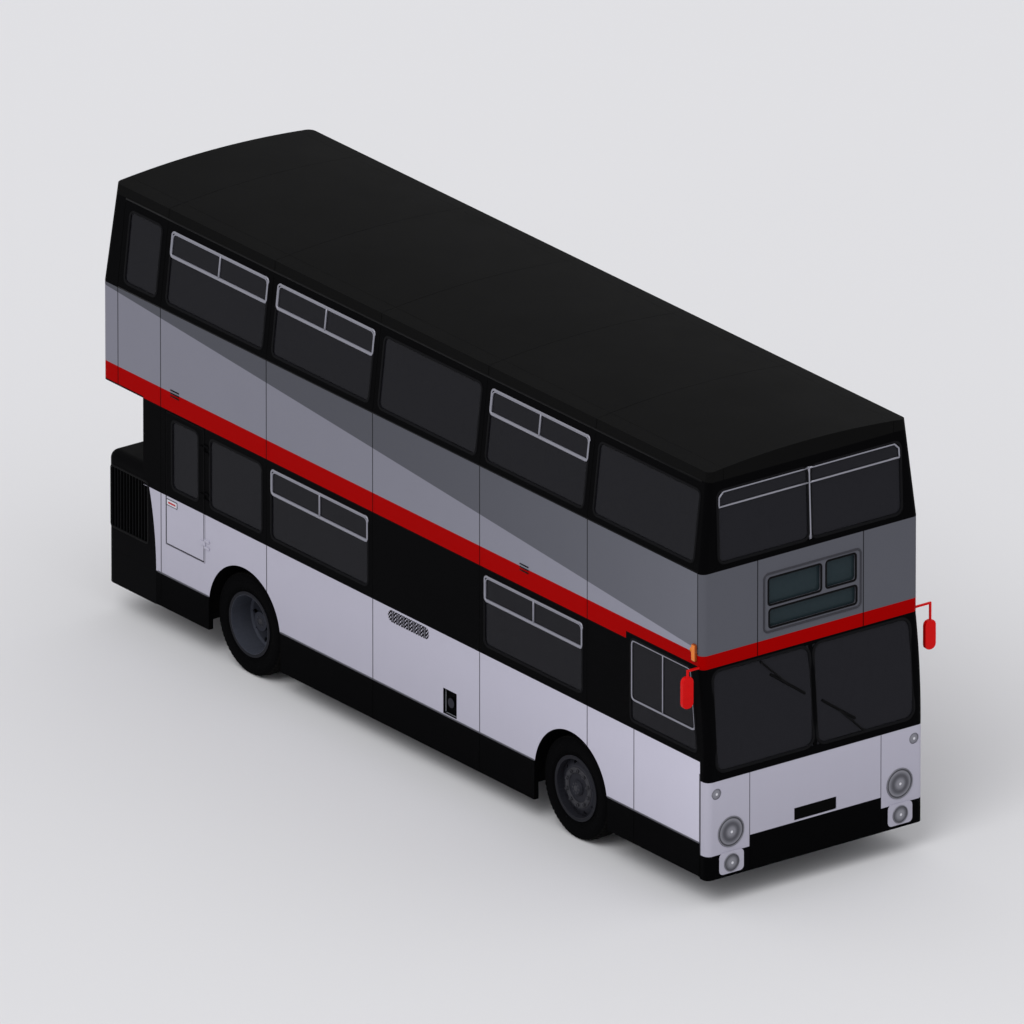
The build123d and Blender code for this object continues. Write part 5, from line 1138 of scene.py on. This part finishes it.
class BUS_OT_plates(Builder, bpy.types.Operator):
    """Blank number plates and the blank sign by the emergency door."""

    bl_idname = "bus.plates"
    bl_label = "Blank plates"

    def build(self, colours, sizes, studio):
        black = rubber("plate_black", linear(1, 1, 1), 0.8)
        parts = [slab(window_loop(-0.240, 0.630, 0.240, 0.747, 0.012), flat_end(4.668), 0.004,
                      0.0005),
                 framed(window_loop(-0.232, 0.638, 0.232, 0.739, 0.010), flat_end(4.672), 0.006,
                        0.0015)]
        piece("front_plate", *join(parts), black, slot="black_plastic")
        parts = [slab(window_loop(-0.255, 0.295, 0.255, 0.405, 0.012), flat_end(-4.611), 0.006,
                      0.0005),
                 framed(window_loop(-0.247, 0.303, 0.247, 0.397, 0.010), flat_end(-4.617), 0.006,
                        0.0015)]
        piece("rear_plate", *join(parts), black, slot="black_plastic")
        f = Finish("sign_print")
        grain = f.noise(60, 3)
        middle = -3.590
        along, up = abs(f.x - middle), abs(f.z - 1.362)
        edge = along.past(0.076) | up.past(0.025)
        bar = (1 - along.past(0.058)) * f.z.between(1.350, 1.370)
        colour = f.mix(edge, linear(206, 206, 216), linear(60, 60, 66))
        colour = f.mix(bar, colour, linear(172, 20, 24))
        print_coat = f.close(f.shade(colour, 0.92 + grain * 0.12), 0.35, grain, depth=0.0002)
        sign = slab(window_loop(middle - 0.085, 1.329, middle + 0.085, 1.395, 0.008), skin(-1),
                    0.003, 0.0003)
        piece("blank_sign", *sign, print_coat, "emergency_door", slot="body_white")


class BUS_OT_lamps(Builder, bpy.types.Operator):
    """Bezels round the lamps, with their screws."""

    bl_idname = "bus.lamps"
    bl_label = "Lamp bezels"

    def build(self, colours, sizes, studio):
        bright = brushed("bezel_metal", linear(118, 118, 126), 0.4, 0.5)
        rims = []
        screws = []
        for side in (-1, 1):
            for x, y, z, radius, width in (
                (4.676, 0.974, 0.699, 0.140, 0.013),
                (4.688, 0.974, 0.396, 0.080, 0.009),
                (4.668, 1.140, 1.107, 0.055, 0.007),
                (-4.6285, 1.075, 0.560, 0.060, 0.006),
                (-4.6285, 1.075, 0.700, 0.060, 0.006),
                (-4.6285, 1.075, 0.840, 0.060, 0.006),
            ):
                turn = np.linspace(0, np.pi, 7)
                rim = [(np.sin(t) * 0.007,
                        radius + width / 2 - np.cos(t) * width / 2) for t in turn]
                rim += [(-0.001, radius + width), (-0.001, radius)]
                axis = (np.sign(x), 0.0, 0.0)
                points, faces = spun(rim, (x, side * y, z), axis, 44)
                faces += [[i * 9 + 8, i * 9, (i + 1) % 44 * 9,
                           (i + 1) % 44 * 9 + 8] for i in range(44)]
                rims.append((points, faces))
                for angle in (0.6, 2.7, 4.8):
                    reach = radius + width / 2
                    spot = (x + np.sign(x) * 0.006, side * y + reach * np.cos(angle),
                            z + reach * np.sin(angle))
                    screws.append(spun([(0, 0), (0, 0.004), (0.0015, 0.003), (0.002, 0)], spot,
                                       axis, 8))
        piece("lamp_bezels", *join(rims), bright, smooth=True, slot="bright_metal")
        piece("bezel_screws", *join(screws), bright, slot="bright_metal")
        f = Finish("repeater_lens")
        ribs = (f.z * 520).sine()
        x, z = REPEATER
        edge = abs(f.z - z).past(0.076, 0.006) | abs(f.x - x).past(0.025, 0.004)
        colour = f.mix(edge, linear(232, 126, 34), linear(150, 66, 12))
        amber = f.close(f.shade(colour, 0.9 + f.noise(30) * 0.2), 0.2, ribs, depth=0.0008,
                        Coat_Weight=0.2, Specular_IOR_Level=0.2)
        lenses = []
        for side in (-1, 1):
            near, far = sorted((side * 1.247, side * 1.277))
            lenses.append(pad((x - 0.030, near, z - 0.085), (x + 0.030, far, z + 0.085), 0.0, 18))
        piece("corner_repeaters", *join(lenses), amber, smooth=True, slot="lens")


class BUS_OT_tyres(Builder, bpy.types.Operator):
    """Tyres with a grooved tread, beads and ribbed sidewalls, in place of the plain ones."""

    bl_idname = "bus.tyres"
    bl_label = "Tyres"

    def build(self, colours, sizes, studio):
        material = tyre_finish()
        for node in [node for node in NODES if node.endswith(("tyre", "tyres"))]:
            low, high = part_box(node)
            middle = (low.x + high.x) / 2
            places = [low.y + 0.14] if node.endswith("tyre") else [low.y + 0.14, high.y - 0.14]
            parts = [self.tyre(middle, y, sizes.groove_depth) for y in places]
            made = piece(node + "_treaded", *join(parts), material, body_of(node), True, "tyre")
            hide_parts(node)

    def tyre(self, middle, y, depth, steps=252):
        """One tyre about its axle.

        Three grooves run round the tread, each a smooth dip across it, and the middle one
        weaves by a sine of the angle. Short grooves cross the shoulders where another sine
        of the angle is high.
        """
        half_wall = [(0.112, 0.303), (0.126, 0.322), (0.133, 0.345), (0.134, 0.350), (0.138, 0.380),
                     (0.1395, 0.410), (0.1385, 0.440), (0.134, 0.464), (0.127, 0.482), (0.119,
                                                                                        0.492)]
        tread = np.linspace(0.112, -0.112, 43)
        wall = np.array(half_wall)
        across = np.concatenate((wall[:, 0], tread, -wall[::-1, 0]))
        radius = np.concatenate((wall[:, 1], 0.4995 - (tread / 0.112) ** 4 * 0.004, wall[::-1, 1]))
        turn = np.linspace(0, 2 * np.pi, steps, endpoint=False)[:, None]
        weave = 0.0035 * np.sin(turn * 42)
        groove = np.zeros((steps, len(across)))
        for centre, sway in ((-0.056, 0.0), (0.0, 1.0), (0.056, 0.0)):
            groove = np.maximum(groove,
                                np.clip(1.6 - np.abs(across - centre - sway * weave) / 0.005, 0, 1))
        shoulder = np.clip((np.abs(across) - 0.078) / 0.004, 0, 1) * (np.abs(across) < 0.1305)
        bars = np.clip(np.sin(turn * 63) * 2.2 - 1.1, 0, 1)
        groove = np.maximum(groove, shoulder * bars * 0.8)
        tread_zone = (radius > 0.478)[None, :]
        out = radius - depth * groove * tread_zone
        points = np.stack((middle + out * np.cos(turn), y + across + 0 * turn,
                           HUB + out * np.sin(turn)), -1)
        return points.reshape(-1, 3), grid_faces(steps, len(across), True, True).tolist()


class BUS_OT_wheels(Builder, bpy.types.Operator):
    """Wheel nuts, hub bolts, valves, nut rings and hub caps."""

    bl_idname = "bus.wheels"
    bl_label = "Wheel nuts and hubs"

    def build(self, colours, sizes, studio):
        steel = brushed("nut_steel", linear(52, 52, 58), 0.5, 0.5)
        bright = brushed("hub_steel", linear(44, 44, 50), 0.45, 0.4)
        for side, name in ((-1, "offside"), (1, "nearside")):
            axis = (0.0, float(side), 0.0)
            for x, face, hub, body in (
                (FRONT_AXLE, 1.159, 1.189, name + "_front_wheel"),
                (REAR_AXLE, 0.912, 1.065, name + "_rear_wheels"),
            ):
                nuts = []
                for i in range(10):
                    angle = (i + 0.5) * np.pi / 5
                    spot = (x + NUT_RING * np.cos(angle), side * face,
                            HUB + NUT_RING * np.sin(angle))
                    nuts.append(spun(nut(0.019, 0.034), spot, axis, 6))
                for i in range(8):
                    angle = i * np.pi / 4
                    spot = (x + 0.048 * np.cos(angle), side * hub, HUB + 0.048 * np.sin(angle))
                    nuts.append(spun(nut(0.008, 0.005), spot, axis, 6))
                piece(body + "_nuts", *join(nuts), steel, body, slot="wheel_paint")
                ring = [(0.0, 0.196), (0.006, 0.196), (0.009, 0.192), (0.009, 0.146),
                        (0.006, 0.142), (0.0, 0.142)]
                parts = [spun(ring, (x, side * (face - 0.001), HUB), axis, 60)]
                cap = [(0.0, 0.0), (0.0, 0.030), (0.003, 0.029), (0.0045, 0.024), (0.005, 0.0)]
                parts.append(spun(cap, (x, side * (hub - 0.0005), HUB), axis, 24))
                start = (x + 0.215, side * (face - 0.02), HUB + 0.05)
                valve = tube([start, (start[0] + 0.004, side * (face + 0.012), start[2]),
                              (start[0] + 0.012, side * (face + 0.026), start[2])], 0.004, 0.006, 8)
                parts.append(valve)
                piece(body + "_nut_ring", *join(parts), bright, body, True, "wheel_paint")


class BUS_OT_mirrors(Builder, bpy.types.Operator):
    """Mirror glasses and their rims, and the rubbers of the wipers."""

    bl_idname = "bus.mirrors"
    bl_label = "Mirrors and wipers"

    def build(self, colours, sizes, studio):
        glass = brushed("mirror_glass", linear(214, 218, 222), 0.04, 1.0)
        rim = rubber("mirror_rim", linear(22, 22, 24))
        panes, rims = [], []
        low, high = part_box("mirrors")
        for y0, y1, z0, z1 in ((low.y, low.y + 0.12, 1.975, 2.285),
                               (high.y - 0.12, high.y, 1.885, 2.175)):
            loop = window_loop(y0 + 0.008, z0 + 0.008, y1 - 0.008, z1 - 0.008, 0.042)

            def back(across, up, proud=0.0):
                return np.stack((np.full(np.shape(across), low.x - 0.0005 - proud), across, up), -1)

            panes.append(slab(loop, back, 0.002, 0.0))
            path = back(loop[:, 0], loop[:, 1])
            rims.append(sweep(path, (-1.0, 0.0, 0.0), bead(0.008, 0.004)))
        piece("mirror_glasses", *join(panes), glass, slot="glass")
        piece("mirror_rims", *join(rims), rim, smooth=True, slot="black_plastic")

        def sunk(across, up, proud=0.0):
            return on_front(across, up, proud - 0.009)

        strips = []
        for pivot, turn in (((-0.570, 2.252), 1), ((0.556, 1.332), -1)):
            tip = (pivot[0] + turn * 0.280, pivot[1] - turn * 0.270)
            strips.append(framed(line(pivot, tip), sunk, 0.016, 0.007, False))
            ends = [(tip[0] + share * 0.190, tip[1] - share * 0.135) for share in (-1, 1)]
            strips.append(framed(line(*ends), sunk, 0.026, 0.008, False))
        piece("wiper_blades", *join(strips), rubber("blade_rubber", linear(2, 2, 2), 0.85),
              smooth=True,
              slot="black_plastic")


class BUS_OT_saloon(Builder, bpy.types.Operator):
    """Seats with crowned cushions, grab rails, stanchions and ceiling lights."""

    bl_idname = "bus.saloon"
    bl_label = "Saloon"

    def build(self, colours, sizes, studio):
        steel = brushed("rail_steel", linear(168, 170, 176), 0.3)
        frame_coat = moulded("seat_shell", linear(58, 60, 66), 0.45)
        pads, shells, rails = [], [], []
        for low, high in self.benches():
            if high[0] - low[0] < 0.48:
                self.driver(low, high, pads, shells)
            elif high[1] - low[1] > 1.2:
                self.rear_bench(low, high, pads, shells)
            else:
                self.bench(low, high, pads, shells, rails)
        seats = piece("seat_cushions", *join(pads), moquette(), smooth=True, slot="seat_cloth")
        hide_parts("seats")
        piece("seat_frames", *join(shells), frame_coat, smooth=True, slot="cab_trim")
        for x in (-3.0, -1.55, -0.09, 1.37):
            rails.append(tube([(x, 0.31, 0.651), (x, 0.31, 2.283)], 0.016))
        for x in (-3.6, -2.15, -0.69, 0.77, 2.23):
            rails.append(tube([(x, 0.31, 2.391), (x, 0.31, 4.20)], 0.016))
        piece("grab_rails", *join(rails), steel, smooth=True, slot="bright_metal")
        f = Finish("light_diffuser")
        ribs = (f.x * 260).sine()
        glow = f.close(f.shade(linear(214, 214, 206), 0.95 + f.noise(30) * 0.08), 0.4, ribs,
                       depth=0.0006)
        parts = []
        for y in (-0.62, 0.62):
            for z, start, end in ((2.283, -3.75, -0.40), (2.283, 1.45, 3.05), (4.222, -4.1, 4.2)):
                profile = [(-0.06, 0.0), (-0.05, -0.022), (0.05, -0.022), (0.06, 0.0)]
                parts.append(sweep(line((start, y, z), (end, y, z), 9), (0, 0, 1), profile, False))
        piece("ceiling_lights", *join(parts), glow, slot="lens")

    def bench(self, low, high, pads, shells, rails):
        """A bench for two: cushions, backs leaned by a tenth, moulded shells and tube legs."""
        floor, (x1, y1, _) = low[2], high
        y0 = low[1]
        split = (y0 + y1) / 2
        for left, right in ((y0 + 0.004, split - 0.003), (split + 0.003, y1 - 0.004)):
            pads.append(pad((x1 - 0.405, left, floor + 0.345), (x1, right, floor + 0.430)))
            back = pad((x1 - 0.452, left, floor + 0.395), (x1 - 0.392, right, floor + 0.912), 0.06)
            pads.append(leaned(back, floor + 0.40, -0.09))
            shell = pad((x1 - 0.470, left - 0.002, floor + 0.330),
                        (x1 - 0.445, right + 0.002, floor + 0.90), 0.0, 10)
            shells.append(leaned(shell, floor + 0.40, -0.09))
            shells.append(pad((x1 - 0.420, left, floor + 0.318),
                              (x1 - 0.006, right, floor + 0.358), 0.0, 10))
        for y in (y0 + 0.12, y1 - 0.12):
            legs = [(x1 - 0.10, y, floor), (x1 - 0.16, y, floor + 0.325),
                    (x1 - 0.30, y, floor + 0.325),
                    (x1 - 0.36, y, floor)]
            shells.append(tube(legs, 0.016, 0.05))
            shells.append(pad((x1 - 0.385, y - 0.03, floor), (x1 - 0.075, y + 0.03, floor + 0.010),
                              0.0, 8))
        rear = x1 - 0.500
        rails.append(tube([(rear, y0 + 0.10, floor + 0.78), (rear - 0.008, y0 + 0.10, floor + 0.90),
                           (rear - 0.008, y1 - 0.10, floor + 0.90), (rear, y1 - 0.10,
                                                                     floor + 0.78)], 0.010))

    def rear_bench(self, low, high, pads, shells):
        """The bench across the rear wall: three places on a moulded plinth."""
        (x0, y0, floor), (x1, y1, top) = low, high
        edges = np.linspace(y0, y1, 4)
        for left, right in zip(edges + 0.003, edges[1:] - 0.003):
            pads.append(pad((x0 + 0.055, left, floor + 0.345), (x1, right, floor + 0.430)))
            pads.append(pad((x0 + 0.012, left, floor + 0.400), (x0 + 0.072, right, top), 0.05))
            shells.append(pad((x0, left, floor), (x1 - 0.030, right, floor + 0.362), 0.0, 16))
            shells.append(pad((x0, left, floor + 0.30), (x0 + 0.020, right, top - 0.010), 0.0, 10))

    def driver(self, low, high, pads, shells):
        """The driver's seat: cushion and back on a stand with a bellows, whose radius is a sine."""
        (x0, y0, floor), (x1, y1, top) = low, high
        pads.append(pad((x0 + 0.010, y0, floor + 0.255), (x1, y1, floor + 0.355), 0.14))
        pads.append(pad((x0 + 0.012, y0 + 0.012, floor + 0.330), (x0 + 0.082, y1 - 0.012, top),
                        0.10))
        shells.append(pad((x0, y0 + 0.020, floor + 0.235), (x1 - 0.030, y1 - 0.020, floor + 0.280),
                          0.0, 12))
        shells.append(pad((x0, y0 + 0.030, floor + 0.260), (x0 + 0.030, y1 - 0.030, top - 0.020),
                          0.0, 12))
        height = np.linspace(0.0, 0.240, 33)
        folds = [(h, 0.108 + 0.012 * np.sin(h * 160.0)) for h in height]
        middle = ((x0 + x1) / 2, (y0 + y1) / 2, floor)
        shells.append(spun([(0.0, 0.0), *folds, (0.240, 0.0)], middle, (0, 0, 1), 28))

    def benches(self):
        """The boxes of the seats node's separate solids, found by following shared edges."""
        mesh = NODES["seats"].data
        owner = list(range(len(mesh.vertices)))

        def root(index):
            while owner[index] != index:
                owner[index] = owner[owner[index]]
                index = owner[index]
            return index

        spots = {}
        for vertex in mesh.vertices:
            key = tuple(round(value, 4) for value in vertex.co)
            if key in spots:
                owner[root(vertex.index)] = root(spots[key])
            spots[key] = vertex.index
        for edge in mesh.edges:
            first, second = edge.vertices
            owner[root(first)] = root(second)
        groups = {}
        for vertex in mesh.vertices:
            groups.setdefault(root(vertex.index), []).append(tuple(vertex.co))
        return [(np.min(group, 0), np.max(group, 0)) for group in groups.values()]


class BUS_OT_bustle(Builder, bpy.types.Operator):
    """Beads and handles of the engine cover, beads of its side grilles, and the intake's mesh."""

    bl_idname = "bus.bustle"
    bl_label = "Bustle fittings"

    def build(self, colours, sizes, studio):
        black = gloss("bustle_bead", linear(5, 5, 6), 0.6)
        steel = brushed("handle_steel", linear(120, 120, 126), 0.35)
        parts = []
        for side in (-1, 1):
            loop = window_loop(-4.548, 0.841, -3.966, 1.454, 0.03)
            parts.append(framed(loop, flat_side(side * HALF), 0.022, 0.006))
            for x in (-4.40, -4.257, -4.11):
                bar = line((x, 0.85), (x, 1.445), 4)
                parts.append(framed(bar, flat_side(side * HALF), 0.010, 0.004, False))
        piece("side_grille_beads", *join(parts), black, smooth=True, slot="body_black")
        mesh = rubber("mesh_black", linear(14, 14, 16))
        parts = [slab(window_loop(-0.226, 1.275, 0.414, 1.400, 0.05), flat_side(-1.199), 0.0006,
                      0.0)]
        for along in np.arange(-0.210, 0.40, 0.0135):
            parts.append(framed(line((along, 1.284), (along, 1.392), 3), flat_side(-1.1996), 0.003,
                                0.001, False))
        piece("intake_mesh", *join(parts), mesh, slot="body_black")
        loop = window_loop(-0.972, 0.438, 0.972, 1.462, 0.02)
        piece("cover_edge_bead", *framed(loop, flat_end(-4.611), 0.016, 0.004), black,
              "engine_cover",
              True, "body_black")
        parts = [tube([(-4.611, y, 0.52), (-4.636, y, 0.52), (-4.636, y + 0.12, 0.52),
                       (-4.611, y + 0.12, 0.52)],
                      0.007, 0.012) for y in (-0.70, 0.58)]
        piece("cover_handles", *join(parts), steel, "engine_cover", True, "bright_metal")


class BUS_OT_doors(Builder, bpy.types.Operator):
    """Handles, edge rubbers and handrails of the doors."""

    bl_idname = "bus.doors"
    bl_label = "Door furniture"

    def build(self, colours, sizes, studio):
        steel = brushed("grip_steel", linear(150, 150, 156), 0.3)
        black = rubber("door_rubber", linear(6, 6, 7))
        edge = window_loop(-3.679, 0.941, -3.092, 2.262, 0.006)
        piece("emergency_edge", *framed(edge, skin(-1), 0.010, 0.0012), black, "emergency_door",
              True,
              "black_plastic")
        inner = [(-3.60, -1.199, 1.30), (-3.60, -1.160, 1.30), (-3.16, -1.160, 1.30),
                 (-3.16, -1.199, 1.30)]
        piece("emergency_push_bar", *tube(inner, 0.010, 0.02), steel, "emergency_door", True,
              "bright_metal")
        for node in LEAVES:
            low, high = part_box(node)
            parts = []
            if "inner" in node:
                x = high.x if node.endswith("rear") else low.x
                lip = [(x, 1.203, low.z + 0.01), (x, 1.203, high.z - 0.01)]
                parts.append(tube(lip, 0.0035))
            else:
                x = (low.x + high.x) / 2
                parts.append(tube([(x, 1.187, 1.05), (x, 1.150, 1.05), (x, 1.150, 1.40),
                                   (x, 1.187, 1.40)], 0.009, 0.02))
            piece(node + "_furniture", *join(parts), black if "inner" in node else steel, node,
                  True,
                  "black_plastic" if "inner" in node else "bright_metal")


class BUS_OT_underside(Builder, bpy.types.Operator):
    """Silencer with its strapped shell, and exhaust pipe."""

    bl_idname = "bus.underside"
    bl_label = "Underside"

    def build(self, colours, sizes, studio):
        pipe = underbody("exhaust_steel", linear(92, 84, 76), 0.8)
        shell = [(0.0, 0.0), (0.0, 0.045), (0.012, 0.095), (0.020, 0.102), (0.10, 0.102),
                 (0.104, 0.106),
                 (0.126, 0.106), (0.130, 0.102), (0.43, 0.102), (0.434, 0.106), (0.456, 0.106),
                 (0.460, 0.102), (0.54, 0.102), (0.548, 0.095), (0.560, 0.045), (0.560, 0.0)]
        parts = [spun(shell, (-3.80, -0.80, 0.44), (1, 0, 0), 32)]
        parts.append(tube([(-3.80, -0.80, 0.44), (-3.93, -0.80, 0.44), (-4.02, -0.90, 0.34),
                           (-4.57, -0.90, 0.315)], 0.035, 0.05, 16))
        piece("exhaust", *join(parts), pipe, smooth=True, slot="chassis")


class BUS_OT_stage(Builder, bpy.types.Operator):
    """Pale floor, even sky, soft key light and the long-lens camera."""

    bl_idname = "bus.stage"
    bl_label = "Floor, light and camera"

    def build(self, colours, sizes, studio):
        scene = bpy.context.scene
        f = Finish("studio_floor")
        grain = f.noise(0.4, 3)
        paper = f.close(f.shade(studio.floor, 0.995 + grain * 0.01), 0.9, grain, depth=0.0005,
                        Specular_IOR_Level=0.0)
        edge = np.linspace(-90, 90, 9)
        across, along = np.meshgrid(edge, edge)
        points = np.stack((across, along, np.full(across.shape, -0.002)), -1)
        mesh = bpy.data.meshes.new("floor")
        mesh.from_pydata(points.reshape(-1, 3).tolist(), [], grid_faces(9, 9).tolist())
        mesh.materials.append(paper)
        floor = bpy.data.objects.new("floor", mesh)
        scene.collection.objects.link(floor)
        world = bpy.data.worlds.new("sky")
        scene.world = world
        world.use_nodes = True
        world.node_tree.nodes["Background"].inputs[0].default_value = linear(250, 250, 252)
        world.node_tree.nodes["Background"].inputs[1].default_value = studio.sky
        light = bpy.data.lights.new("key", "SUN")
        light.energy = studio.sun
        light.angle = 0.6
        sun = bpy.data.objects.new("key", light)
        scene.collection.objects.link(sun)
        sun.rotation_euler = Vector((0.35, -0.75, 1.0)).to_track_quat("Z", "Y").to_euler()
        right = Vector((0.6, 0.8, 0.0))
        up = Vector((-0.2971, 0.2228, 0.9285))
        back = Vector((0.7428, -0.5571, 0.3714))
        aim = right * 0.01483 + up * 1.97739 + back * 0.7985
        lens = bpy.data.cameras.new("camera")
        lens.lens, lens.sensor_width = studio.lens, 36.0
        lens.clip_start, lens.clip_end = 1.0, 900.0
        camera = bpy.data.objects.new("camera", lens)
        scene.collection.objects.link(camera)
        camera.location = aim + back * (9.4903 * studio.lens / 36.0)
        camera.rotation_euler = back.to_track_quat("Z", "Y").to_euler()
        scene.camera = camera
        scene.view_settings.view_transform = "Standard"


OPERATORS = (
    BUS_OT_finishes, BUS_OT_seals, BUS_OT_panes, BUS_OT_bars, BUS_OT_strips, BUS_OT_destination,
    BUS_OT_plates, BUS_OT_lamps, BUS_OT_tyres, BUS_OT_wheels, BUS_OT_mirrors, BUS_OT_saloon,
    BUS_OT_bustle, BUS_OT_doors, BUS_OT_underside, BUS_OT_stage,
)


class BUS_PT_panel(bpy.types.Panel):
    """Sizes, paints and one button for each group of pieces."""

    bl_idname = "BUS_PT_panel"
    bl_label = "Double-decker bus"
    bl_space_type = "VIEW_3D"
    bl_region_type = "UI"
    bl_category = "Bus"

    def draw(self, context):
        for group in settings():
            box = self.layout.box()
            for name in group.__annotations__:
                box.prop(group, name)
        for operator in OPERATORS:
            self.layout.operator(operator.bl_idname)


GROUPS = {"bus_paints": BusPaints, "bus_sizes": BusSizes, "bus_studio": BusStudio}


def register():
    """Adds the settings, the operators and the panel to Blender."""
    for name, group in GROUPS.items():
        bpy.utils.register_class(group)
        setattr(bpy.types.Scene, name, bpy.props.PointerProperty(type=group))
    for operator in (*OPERATORS, BUS_PT_panel):
        bpy.utils.register_class(operator)


def unregister():
    """Takes them away again."""
    for operator in reversed((*OPERATORS, BUS_PT_panel)):
        bpy.utils.unregister_class(operator)
    for name, group in GROUPS.items():
        delattr(bpy.types.Scene, name)
        bpy.utils.unregister_class(group)


def main():
    """Runs every operator once."""
    register()
    for operator in OPERATORS:
        group, name = operator.bl_idname.split(".")
        if getattr(getattr(bpy.ops, group), name)() != {"FINISHED"}:
            raise RuntimeError(operator.bl_label + " did not finish")


if __name__ == "__main__":
    main()
